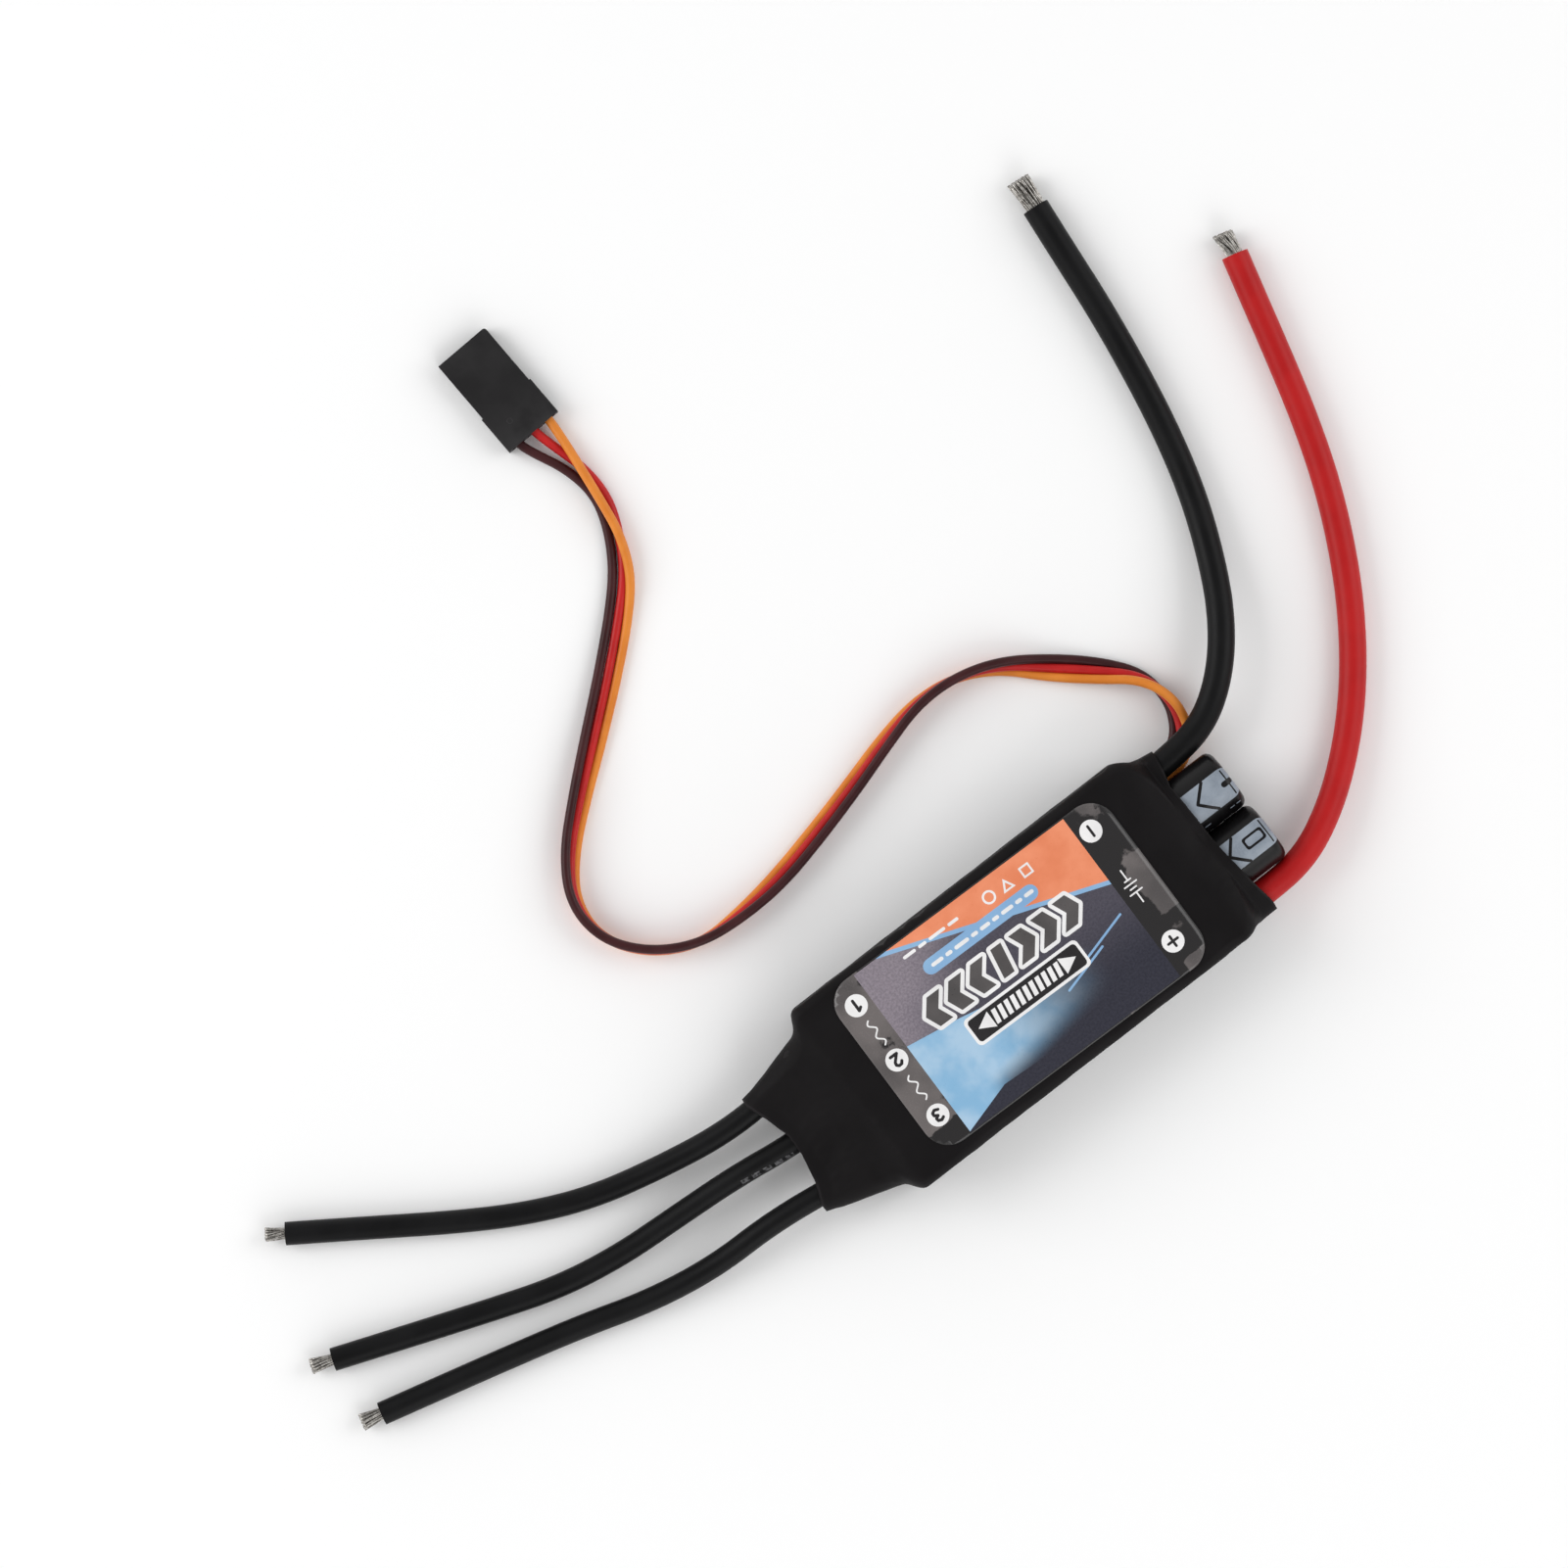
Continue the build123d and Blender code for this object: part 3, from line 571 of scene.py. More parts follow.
def capsule(start, end, width):
    """The outline of a straight stroke with round ends."""
    heading = math.atan2(end[1] - start[1], end[0] - start[0])
    outline = []
    for spot, first in ((end, heading - math.pi / 2), (start, heading + math.pi / 2)):
        outline += arc(spot, width / 2, np.linspace(first, first + math.pi, 8))
    return outline


def box(low, high):
    return [low, (high[0], low[1]), high, (low[0], high[1])]


def rounded_box(low, high, radius, steps=6):
    outline = []
    inner = box((low[0] + radius, low[1] + radius), (high[0] - radius, high[1] - radius))
    for centre, first in zip(inner[1:] + inner[:1], (-90, 0, 90, 180)):
        outline += arc(centre, radius, np.radians(np.linspace(first, first + 90, steps)))
    return outline


def slab(low, high, width):
    """The outline between two places and the same two moved sideways, anticlockwise."""
    outline = [low, (low[0] + width, low[1]), (high[0] + width, high[1]), high]
    return outline if width > 0 else outline[::-1]


def grown(outline, margin):
    """A convex outline moved outwards, with round corners. The outline runs anticlockwise."""
    made = []
    for before, spot, after in zip(outline[-1:] + outline, outline, outline[1:] + outline[:1]):
        first = math.atan2(spot[1] - before[1], spot[0] - before[0]) - math.pi / 2
        turn = math.atan2(after[1] - spot[1], after[0] - spot[0]) - math.pi / 2 - first
        made += arc(spot, margin, np.linspace(first, first + turn % (2 * math.pi), 5))
    return made


def divided(outline, spacing):
    """An outline with points added along its long edges, so that it can be bent round a curve."""
    made = []
    for start, end in looped(outline):
        steps = max(1, math.ceil(math.dist(start, end) / spacing))
        for step in range(steps):
            made.append(tuple(a + (b - a) * step / steps for a, b in zip(start, end)))
    return made


class Drawing:
    """Flat shapes laid over each other, cut into one set of triangles, each with the finish of the
    topmost shape that covers it. Places are in millimetres."""

    def __init__(self, outline, finish):
        self.shapes = [(outline, finish)]

    def fill(self, finish, *outlines):
        self.shapes += [(outline, finish) for outline in outlines]

    def stroke(self, finish, width, *places):
        self.fill(finish, *[capsule(start, end, width) for start, end in zip(places, places[1:])])

    def cut(self, spacing):
        """Points, triangles, each triangle's finish number, and the finishes in that order."""
        points = []
        faces = []
        for outline, _ in self.shapes:
            area = sum(a[0] * b[1] - b[0] * a[1] for a, b in looped(outline))
            ordered = divided(outline if area > 0 else outline[::-1], spacing)
            faces.append(added(points, [Vector(p) for p in ordered]))
        low = np.min(self.shapes[0][0], axis=0)
        high = np.max(self.shapes[0][0], axis=0)
        for x in np.arange(low[0] + spacing / 2, high[0], spacing):
            for y in np.arange(low[1] + spacing / 2, high[1], spacing):
                points.append(Vector((x, y)))
        places, _, triangles, _, _, sources = mathutils.geometry.delaunay_2d_cdt(points, [], faces, 0, 1e-5)
        names = sorted({finish for _, finish in self.shapes})
        kept = []
        numbers = []
        for triangle, covering in zip(triangles, sources):
            if 0 in covering:
                kept.append(triangle)
                numbers.append(names.index(self.shapes[max(covering)][1]))
        return places, kept, numbers, names


# ======== heat-shrink sleeve
# The sleeve is drawn tight over what it holds. Each section is x and the circles, as y, z and radius,
# that it is stretched around.
SLEEVE_WALL = 0.45
SHOULDER_R = 1.15
TOP = 11.0


def corner_circles(left, right, bottom, top, radius):
    """The four corners of a section that is a rectangle, from -left to +right."""
    return [(y, z, radius) for y in (radius - left, right - radius) for z in (bottom + radius, top - radius)]


SLEEVE_SECTIONS = [
    (-37.2, [(-6.85, 4.62, 2.0), (6.9, 4.7, 2.0)]),
    (-35.0, corner_circles(9.75, 9.2, 2.55, 6.8, 2.1)),
    (-28.3, corner_circles(11.6, 10.85, 1.5, 8.6, 2.6)),
    (-26.5, corner_circles(12.1, 11.3, 0.9, 9.6, 2.2)),
    (-25.6, corner_circles(13.4, 12.3, 0.4, 10.3, 1.9)),
    (-25.1, corner_circles(13.9, 13.75, 0.15, 10.75, 1.6)),
    (-24.5, corner_circles(14.0, 14.0, 0.0, TOP - 0.05, 1.25)),
    (-23.6, corner_circles(14.0, 14.0, 0.0, TOP, SHOULDER_R)),
    (26.1, corner_circles(14.0, 14.0, 0.0, TOP, SHOULDER_R)),
    (27.1, corner_circles(13.85, 13.45, 0.0, 10.85, 1.5)),
    (28.3, corner_circles(13.4, 12.5, 0.0, 10.5, 2.2)),
    (29.6, [(3.6, 5.2, 4.75), (-4.72, 5.2, 4.75), (9.85, 4.7, 2.35), (-11.2, 4.6, 2.35), (9.9, 2.45, 2.3)]),
    (32.0, [(3.6, 5.15, 4.65), (-4.72, 5.15, 4.65), (9.8, 4.9, 2.2), (-11.35, 4.5, 2.2), (9.7, 2.4, 2.2)]),
]
SECTION_TURNS = np.linspace(-math.pi / 2, 1.5 * math.pi, 1440, endpoint=False)
AROUND = 264                # points round the sleeve
BLEND_REACH = 0.35          # how far each section's form is carried into its neighbours


def stretched(circles, inset):
    """The outline of a membrane round some circles: where it touches, for each outward direction."""
    out_y = np.cos(SECTION_TURNS)
    out_z = np.sin(SECTION_TURNS)
    reach = np.array([y * out_y + z * out_z + r for y, z, r in circles])
    which = np.array(circles)[reach.argmax(axis=0)]
    radius = which[:, 2] - inset
    return np.stack([which[:, 0] + radius * out_y, which[:, 1] + radius * out_z], axis=1)


def sleeve_outline(x, inset, keys):
    """The section at x, as evenly spaced points that start at the middle of the underside."""
    places = [place for place, _ in SLEEVE_SECTIONS]
    total = np.zeros((len(SECTION_TURNS), 2))
    offsets = np.linspace(-BLEND_REACH, BLEND_REACH, 5)
    for at in x + offsets:
        at = min(max(at, places[0]), places[-1])
        i = min(int(np.searchsorted(places, at, side="right")) - 1, len(places) - 2)
        share = (at - places[i]) / (places[i + 1] - places[i])
        total += keys[inset][i] * (1 - share) + keys[inset][i + 1] * share
    outline = total / len(offsets)
    closed = np.vstack([outline, outline[:1]])
    run = np.concatenate([[0], np.cumsum(np.linalg.norm(np.diff(closed, axis=0), axis=1))])
    below = np.where((closed[:-1, 1] < 5) & (closed[:-1, 0] <= 0) & (closed[1:, 0] > 0))[0][0]
    first = run[below] + (run[below + 1] - run[below]) * (
        -closed[below, 0] / max(closed[below + 1, 0] - closed[below, 0], 1e-9))
    wanted = (first + np.linspace(0, run[-1], AROUND, endpoint=False)) % run[-1]
    return np.stack([np.interp(wanted, run, closed[:, k]) for k in range(2)], axis=1)


MOTOR_MOUTH = [(-9.0, -36.7), (-8.05, -36.6), (-5.4, -35.5), (-1.3, -34.7), (1.65, -34.6), (5.3, -35.5),
               (8.1, -36.5), (9.0, -36.5)]
BATTERY_MOUTH = [(-13.1, 31.7), (-12.6, 31.8), (-8.7, 31.15), (-2.7, 30.5), (5.3, 30.35), (7.4, 30.3),
                 (9.5, 30.9), (12.1, 31.35)]
SLEEVE_STATIONS = np.concatenate([
    np.linspace(-37.2, -23.2, 46), np.linspace(-22.4, 24.8, 60), np.linspace(25.4, 32.0, 25)])
# Each mouth: the x from which the sleeve follows its cut, the last station, the cut's curve, and a seed.
MOUTHS = [(-29.0, SLEEVE_STATIONS[0], MOTOR_MOUTH, 0), (29.0, SLEEVE_STATIONS[-1], BATTERY_MOUTH, 9)]


def bell(value, middle, width):
    return np.exp(-((value - middle) / width) ** 2)


def ramp_between(value, low, high):
    share = np.clip((value - low) / (high - low), 0, 1)
    return share * share * (3 - 2 * share)


MOTOR_WIRES_Y = (-6.9, 0.3, 6.95)
CAP_GAP_Y = -0.56
SIDE_DENTS = [(-10.4, 0.6, 0.38), (-7.3, 0.5, 0.24), (-4.5, 0.9, 0.34)]     # place, width and depth
# How deep the membrane sinks, in millimetres.
SINK_BETWEEN_WIRES = 0.85
SINK_BETWEEN_CAPS = 0.9
SINK_BESIDE_CAPS = 0.3
SINK_ON_LABEL = 0.03
SINK_ELSEWHERE = 0.05


def sleeve_dip(x, y, z):
    """How far the membrane sinks inwards at a place, in millimetres."""
    flat = ramp_between(abs(z - 5.2) / 5.8, 0.25, 0.6)
    motor = 1 - ramp_between(x, -36.5, -27.0)
    dip = 0.0
    for low, high in zip(MOTOR_WIRES_Y, MOTOR_WIRES_Y[1:]):
        if low < y < high:
            dip += SINK_BETWEEN_WIRES * motor * flat * math.sin(math.pi * (y - low) / (high - low)) ** 2
    battery = ramp_between(x, 26.5, 31.0)
    dip += SINK_BETWEEN_CAPS * battery * flat * bell(y, CAP_GAP_Y, 1.6)
    dip += SINK_BESIDE_CAPS * battery * flat * (bell(y, 8.0, 1.2) + bell(y, -9.4, 1.0))
    side = ramp_between(abs(y), 13.2, 13.9)
    dip += side * (0.22 * bell(z, 3.0, 1.6) + 0.12 * bell(z, 7.75, 0.6))
    if y > 13:
        dip += sum(depth * bell(x, place, width) * ramp_between(z, 2.0, 5.0)
                   for place, width, depth in SIDE_DENTS)
    if z > 9:
        dip += 0.16 * bell(x, 24.3, 0.9) * ramp_between(x, 22.4, 23.4)
    if z < 1:
        dip += 0.10 + 0.10 * lumps(x, y, 0, scale=0.22)
    if z > TOP - 0.1 and -22 < x < 23.4:
        return dip + SINK_ON_LABEL
    return dip + SINK_ELSEWHERE * (1 + lumps(x * 0.5, y * 1.1, z * 1.1) + lumps(x, y, z, scale=0.28))


def remapped(x, y):
    """Moves a station's place so that the outermost ones follow the mouths' curved edges."""
    for start, last, mouth, seed in MOUTHS:
        if (x - start) * start > 0:
            edge = np.interp(y, *zip(*mouth))
            return start + (x - start) * (edge - start) / (last - start) + 0.05 * lumps(y * 1.3, seed, 0)
    return x


def make_sleeve():
    keys = {inset: [stretched(circles, inset) for _, circles in SLEEVE_SECTIONS]
            for inset in (0, SLEEVE_WALL)}
    points = []
    rings = []
    for inset in (0, SLEEVE_WALL):
        for x in SLEEVE_STATIONS:
            outline = sleeve_outline(x, inset, keys)
            outer = outline if inset == 0 else sleeve_outline(x, 0, keys)
            middle = outer.mean(axis=0)
            ring = []
            for (y, z), (outer_y, outer_z) in zip(outline, outer):
                dip = sleeve_dip(x, outer_y, outer_z)
                inwards = Vector((middle[0] - outer_y, middle[1] - outer_z))
                slope = Vector((inwards.x * 0.15, inwards.y)) if abs(outer_y) < 12.9 else inwards
                slope.normalize()
                ring.append((remapped(x, outer_y), y + slope.x * dip, z + slope.y * dip))
            rings.append(added(points, ring))
    count = len(SLEEVE_STATIONS)
    faces = joined_rings(looped(rings[:count] + rings[count:][::-1]))
    sleeve = mesh_object("heat_shrink_skin", points, faces, ["heat_shrink"])
    weld(sleeve)
    stand_in(sleeve, "heat_shrink_sleeve")


# ======== printed label
# The drawing's own frame is the label's: its origin is the label's middle, and the whole is turned a
# little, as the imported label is.
LABEL_LENGTH = 42.8
LABEL_WIDTH = 25.0
LABEL_TURN = math.radians(-1.0)
LABEL_CENTRE = [(low + high) / 2 / MM for low, high in zip(*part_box("label"))][:2]
LABEL_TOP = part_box("label")[1][2] / MM
LABEL_THICK = 0.12
LABEL_SINK = 0.02           # how far its underside is pressed into the sleeve
LABEL_CORNER_R = 3.5
LABEL_WAVE = 0.035
LABEL_SPACING = 0.8         # between the points that the drawing is cut with
ART_LEFT, ART_RIGHT = -16.75, 16.0
ART_TOP, ART_BOTTOM = 12.3, -12.25
MARK_R = 1.45
PHASE_X = -18.75
SIGN_X = 17.9
MINUS_Y, PLUS_Y = 9.0, -8.2


def draw_numeral(drawing, number, centre):
    """A small numeral that reads from the label's motor edge."""
    shapes = {
        1: [(-0.28, 0.38), (0.05, 0.62), (0.05, -0.62)],
        2: [(-0.38, 0.35), (-0.2, 0.6), (0.15, 0.62), (0.36, 0.4), (0.3, 0.12), (-0.38, -0.6), (0.42, -0.6)],
        3: [(-0.36, 0.48), (-0.05, 0.64), (0.3, 0.5), (0.34, 0.22), (0.0, 0.04), (0.36, -0.16),
            (0.36, -0.46), (0.02, -0.64), (-0.36, -0.48)],
    }
    places = [(centre[0] - 1.2 * along, centre[1] - 1.2 * up) for along, up in shapes[number]]
    drawing.stroke("label_ink", 0.4, *places)


def draw_terminals(drawing):
    """The white discs: three motor phases on the motor side, minus and plus on the battery side."""
    for number, y in enumerate([9.05, 0.55, -8.05], start=1):
        drawing.fill("label_white", disc((PHASE_X, y), MARK_R))
        draw_numeral(drawing, number, (PHASE_X, y))
    for y in (MINUS_Y, PLUS_Y):
        drawing.fill("label_white", disc((SIGN_X, y), MARK_R))
        drawing.stroke("label_ink", 0.36, (SIGN_X, y - 0.72), (SIGN_X, y + 0.72))
    drawing.stroke("label_ink", 0.36, (SIGN_X - 0.72, PLUS_Y), (SIGN_X + 0.72, PLUS_Y))


def draw_side_signs(drawing):
    """A wave sign between the phases, and the sign for a battery between minus and plus."""
    for y in (4.8, -3.75):
        wave = [(PHASE_X + 0.38 * math.sin(turn), y + turn * 0.29) for turn in np.linspace(-6.3, 6.3, 25)]
        drawing.stroke("label_white", 0.2, *wave)
    y = 0.4
    drawing.stroke("label_white", 0.2, (SIGN_X, y - 2.4), (SIGN_X, y - 0.9))
    drawing.stroke("label_white", 0.2, (SIGN_X, y + 0.9), (SIGN_X, y + 2.4))
    for step, half in ((-0.9, 0.9), (-0.3, 0.45), (0.3, 0.9), (0.9, 0.45)):
        drawing.stroke("label_white", 0.2, (SIGN_X - half, y + step), (SIGN_X + half, y + step))


def draw_ground(drawing):
    """Plain colour fields in the places of the real label's picture: a dark ground, a light-blue field,
    an orange corner with a blue border, and two stripes."""
    drawing.fill("label_art", box((ART_LEFT, ART_BOTTOM), (ART_RIGHT, ART_TOP)))
    drawing.fill("label_glow", [(ART_LEFT, 1.15), (ART_LEFT, -12.1), (-9.75, -9.95), (15.0, -11.0),
                                (13.0, -2.8), (-3.8, -1.0), (-9.3, 0.05)])
    drawing.fill("label_orange", [(-11.7, ART_TOP), (ART_RIGHT, ART_TOP), (ART_RIGHT, 2.75)])
    drawing.fill("label_blue",
                 [(-13.4, ART_TOP), (-11.7, ART_TOP), (ART_RIGHT, 2.75), (ART_RIGHT, 2.15)],
                 capsule((8.0, -3.5), (14.6, -1.55), 0.3), capsule((3.8, -5.4), (10.4, -3.45), 0.3))


def draw_dashes(drawing, x, y, lengths, gap, width):
    for length in lengths:
        drawing.stroke("label_white", width, (x, y), (x + length, y))
        x += length + gap


def draw_small_signs(drawing):
    """Rows of dashes, and three plain shapes, where the real label carries small print."""
    drawing.stroke("label_blue", 2.05, (-8.3, 7.4), (7.2, 7.4))
    draw_dashes(drawing, -7.95, 7.4, (1.3, 0.5, 1.7, 0.5, 1.0, 0.5, 1.3, 0.5, 0.9), 0.9, 0.5)
    draw_dashes(drawing, -10.3, 10.25, (1.5, 0.8, 2.1, 1.2), 0.85, 0.42)
    for whole, hole in (
            (disc((2.7, 10.0), 0.9), disc((2.7, 10.0), 0.62)),
            ([(4.5, 9.2), (6.3, 9.2), (5.4, 10.85)], [(4.93, 9.45), (5.87, 9.45), (5.4, 10.3)]),
            (box((7.7, 9.2), (9.2, 10.7)), box((7.95, 9.45), (8.95, 10.45)))):
        drawing.fill("label_white", whole)
        drawing.fill("label_orange", hole)


BLOCK_LOW, BLOCK_HIGH = 0.65, 4.6
BLOCK_MIDDLE_X = -0.7
BLOCK_WIDTH = 1.95
BLOCK_BAR = 1.6             # the middle bar's width
BLOCK_POINT = 1.2           # how far each arrowhead's point stands out
BLOCK_SLANT = 0.7
BLOCK_EDGE = 0.5


def arrow_halves(place, way):
    """The lower and upper halves of one bold arrowhead that points one way from the middle."""
    middle = (BLOCK_LOW + BLOCK_HIGH) / 2
    low, high = [
        (BLOCK_MIDDLE_X + way * place + BLOCK_SLANT * (y - middle) / (BLOCK_HIGH - BLOCK_LOW), y)
        for y in (BLOCK_LOW, BLOCK_HIGH)]
    point = (BLOCK_MIDDLE_X + way * (place + BLOCK_POINT), middle)
    return [slab(low, point, way * BLOCK_WIDTH), slab(point, high, way * BLOCK_WIDTH)]


def draw_big_blocks(drawing):
    """A bold row of arrowheads that point both ways from a bar in the middle."""
    left, right = BLOCK_MIDDLE_X - BLOCK_BAR / 2, BLOCK_MIDDLE_X + BLOCK_BAR / 2
    lean = BLOCK_SLANT / 2
    blocks = [[(left - lean, BLOCK_LOW), (right - lean, BLOCK_LOW), (right + lean, BLOCK_HIGH),
               (left + lean, BLOCK_HIGH)]]
    for way in (-1, 1):
        for place in (2.0, 5.4, 8.8):
            blocks += arrow_halves(place, way)
    drawing.fill("label_white", *[grown(block, BLOCK_EDGE) for block in blocks])
    drawing.fill("label_grey", *blocks)


PLATE_MIDDLE = (-0.6, -2.45)


def draw_plate(drawing):
    """The dark plate under the blocks, with a barred arrow that points both ways."""
    x, y = PLATE_MIDDLE
    drawing.fill("label_white", rounded_box((x - 8.8, y - 2.0), (x + 8.8, y + 1.95), 0.7))
    drawing.fill("label_ink", rounded_box((x - 8.4, y - 1.6), (x + 8.4, y + 1.55), 0.5))
    for way in (-1, 1):
        tip = x + way * 7.6
        base = tip - way * 2.1
        drawing.fill("label_white", [(tip, y), (base, y + 1.15), (base, y - 1.15)])
    for step in range(-5, 6):
        left = x + step * 0.97 - 0.36
        drawing.fill("label_white", [(left - 0.1, y - 0.95), (left + 0.52, y - 0.95),
                                     (left + 0.82, y + 0.95), (left + 0.2, y + 0.95)])


def make_label():
    half = (LABEL_LENGTH / 2, LABEL_WIDTH / 2)
    outline = rounded_box((-half[0], -half[1]), half, LABEL_CORNER_R, steps=10)
    drawing = Drawing(outline, "label_black")
    for draw in (draw_ground, draw_terminals, draw_side_signs, draw_small_signs, draw_big_blocks, draw_plate):
        draw(drawing)
    places, faces, numbers, names = drawing.cut(LABEL_SPACING)
    points = []
    for x, y in places:
        wave = lumps(x * 0.16, y * 0.16, 3)
        ripple = lumps(x * 0.5, y * 0.5, 7)
        points.append((
            LABEL_CENTRE[0] + x * math.cos(LABEL_TURN) - y * math.sin(LABEL_TURN),
            LABEL_CENTRE[1] + x * math.sin(LABEL_TURN) + y * math.cos(LABEL_TURN),
            LABEL_TOP - LABEL_WAVE * (0.5 + 0.4 * wave + 0.15 * ripple)))
    label = mesh_object("printed_label", points, faces, names, numbers)
    work = opened(label.data)
    rim = [edge for edge in work.edges if edge.is_boundary]
    wall = bmesh.ops.extrude_edge_only(work, edges=rim)["geom"]
    for item in wall:
        if isinstance(item, bmesh.types.BMVert):
            item.co.z = (LABEL_TOP - LABEL_THICK - LABEL_SINK) * MM
    under = [edge for edge in work.edges if edge.is_boundary]
    filled = bmesh.ops.triangle_fill(work, edges=under, use_beauty=True)["geom"]
    for item in wall + filled:
        if isinstance(item, bmesh.types.BMFace):
            item.material_index = names.index("label_black")
            item.smooth = False
    shut(work, label.data)
    stand_in(label, "label")


# ======== capacitors
CAP_R = 4.15
CAP_CURL_R = 1.05
CAP_LIP_R = 2.8
WRAP_THICK = 0.14
LINE_PAST_CURL = 0.45       # where the thin line across the stripe lies on the front curl
STRIPE_START, STRIPE_MARGIN = 1.2, 0.12     # from the rear lip, and short of the front one
SIGN_LINE = 0.32            # the line width of an outlined minus sign
CHEVRON_LINE = 0.42
RIM_LINE = 0.22
RIM_LINE_SHORT = 0.35       # how far the thin line stops short of the stripe's edges
SMALL_MARK_LINE = 0.17
WRAP_SPACING = 0.45         # between the points that the drawing is cut with


def cap_place(kind, number):
    """The ends in x of a capacitor's can or wrap, and its axis in y and z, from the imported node."""
    low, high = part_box(f"capacitor_{kind}_{number}")
    return low[0] / MM, high[0] / MM, (low[1] + high[1]) / 2 / MM, (low[2] + high[2]) / 2 / MM


class WrapProfile:
    """Turns a distance along the wrap's outline, from its rear lip to its front one, into x and radius,
    with the direction that the surface faces there."""

    def __init__(self, rear, front):
        self.rear = rear
        self.front = front
        self.flat = CAP_R - CAP_CURL_R - CAP_LIP_R
        self.curl = CAP_CURL_R * math.pi / 2
        self.barrel = front - rear - 2 * CAP_CURL_R
        self.length = 2 * self.flat + 2 * self.curl + self.barrel

    def at_x(self, x):
        return self.flat + self.curl + x - self.rear - CAP_CURL_R

    def place(self, run):
        end, way = self.rear, 1
        if self.length - run < run:
            run = self.length - run
            end, way = self.front, -1
        turn = min(max((run - self.flat) / CAP_CURL_R, 0), math.pi / 2)
        flat = min(run, self.flat)
        past = max(run - self.flat - self.curl, 0)
        x = end + way * (CAP_CURL_R * (1 - math.cos(turn)) + past)
        radius = CAP_LIP_R + flat + CAP_CURL_R * math.sin(turn)
        return x, radius, -way * math.cos(turn), math.sin(turn)


def closed_shell(points, normals, faces, numbers):
    """A sheet of faces given an inner side and a rim, as one closed surface, with its normals."""
    count = len(points)
    directed = {(face[i - 1], face[i]) for face in faces for i in range(len(face))}
    rim = [(b, a, a + count, b + count) for a, b in sorted(directed) if (b, a) not in directed]
    inner = [p - n * WRAP_THICK for p, n in zip(points, normals)]
    shell = faces + [tuple(i + count for i in face[::-1]) for face in faces] + rim
    return points + inner, normals + [-n for n in normals], shell, numbers * 2 + [0] * len(rim)


def make_wrap(number, stripe, chevron, sign, hollow_sign, small_marks=()):
    """One capacitor's printed sleeve. Places across the stripe are y as seen from above."""
    rear, front, axis_y, axis_z = cap_place("wrap", number)
    profile = WrapProfile(rear, front)
    girth = 2 * math.pi * CAP_R

    def lay(x, y):
        """A place on the unrolled wrap from x and y on its top. The seam is underneath."""
        return profile.at_x(x), girth / 2 + CAP_R * math.asin((y - axis_y) / CAP_R)

    runs = list(np.linspace(0, profile.length, 40))
    arounds = list(np.linspace(0, girth, 73))
    outline = [(run, 0) for run in runs] + [(profile.length, s) for s in arounds[1:-1]]
    outline += [(run, girth) for run in runs[::-1]] + [(0, s) for s in arounds[-2:0:-1]]
    drawing = Drawing(outline, "capacitor_wrap")
    left, right = [lay(front, y)[1] for y in stripe]
    drawing.fill("wrap_stripe", box((STRIPE_START, left), (profile.length - STRIPE_MARGIN, right)))
    drawing.stroke("capacitor_wrap", CHEVRON_LINE, *[lay(x, y) for x, y in chevron])
    low, high = [lay(x, y) for x, y in sign]
    drawing.fill("capacitor_wrap", rounded_box(low, high, 0.36))
    if hollow_sign:
        low = (low[0] + SIGN_LINE, low[1] + SIGN_LINE)
        high = (high[0] - SIGN_LINE, high[1] - SIGN_LINE)
        drawing.fill("wrap_stripe", rounded_box(low, high, 0.3))
    rim = lay(front - CAP_CURL_R + LINE_PAST_CURL, axis_y)[0]
    drawing.stroke("capacitor_wrap", RIM_LINE, (rim, left + RIM_LINE_SHORT), (rim, right - RIM_LINE_SHORT))
    for mark in small_marks:
        drawing.stroke("wrap_stripe", SMALL_MARK_LINE, *[lay(x, y) for x, y in mark])

    places, faces, numbers, names = drawing.cut(WRAP_SPACING)
    points = []
    normals = []
    joined = {}
    seam = []
    for run, around in places:
        x, radius, out_x, out_r = profile.place(run)
        angle = (around - girth / 2) / CAP_R
        up, side = math.cos(angle), math.sin(angle)
        spot = Vector((x, axis_y + radius * side, axis_z + radius * up))
        key = tuple(round(c, 3) for c in spot)
        if key not in joined:
            joined[key] = len(points)
            points.append(spot)
            normals.append(Vector((out_x, out_r * side, out_r * up)))
        seam.append(joined[key])
    faces = [tuple(seam[i] for i in face) for face in faces]
    first = faces[0]
    if mathutils.geometry.normal(*[points[i] for i in first]).dot(normals[first[0]]) < 0:
        faces = [face[::-1] for face in faces]
    points, normals, faces, numbers = closed_shell(points, normals, faces, numbers)
    wrap = mesh_object(f"capacitor_sleeve_{number}", points, faces, names, numbers)
    wrap.data.normals_split_custom_set_from_vertices(normals)
    stand_in(wrap, f"capacitor_wrap_{number}")


CAN_R = 4.0
CAN_CURL_R = 0.9
CAN_SIDES = 96
CAN_END_SINK = 0.05         # how far the end lies behind the rolled edge
VENT_DEPTH = 0.12
VENT_HALF_WIDTH = 0.14
VENT_REACH = 2.1


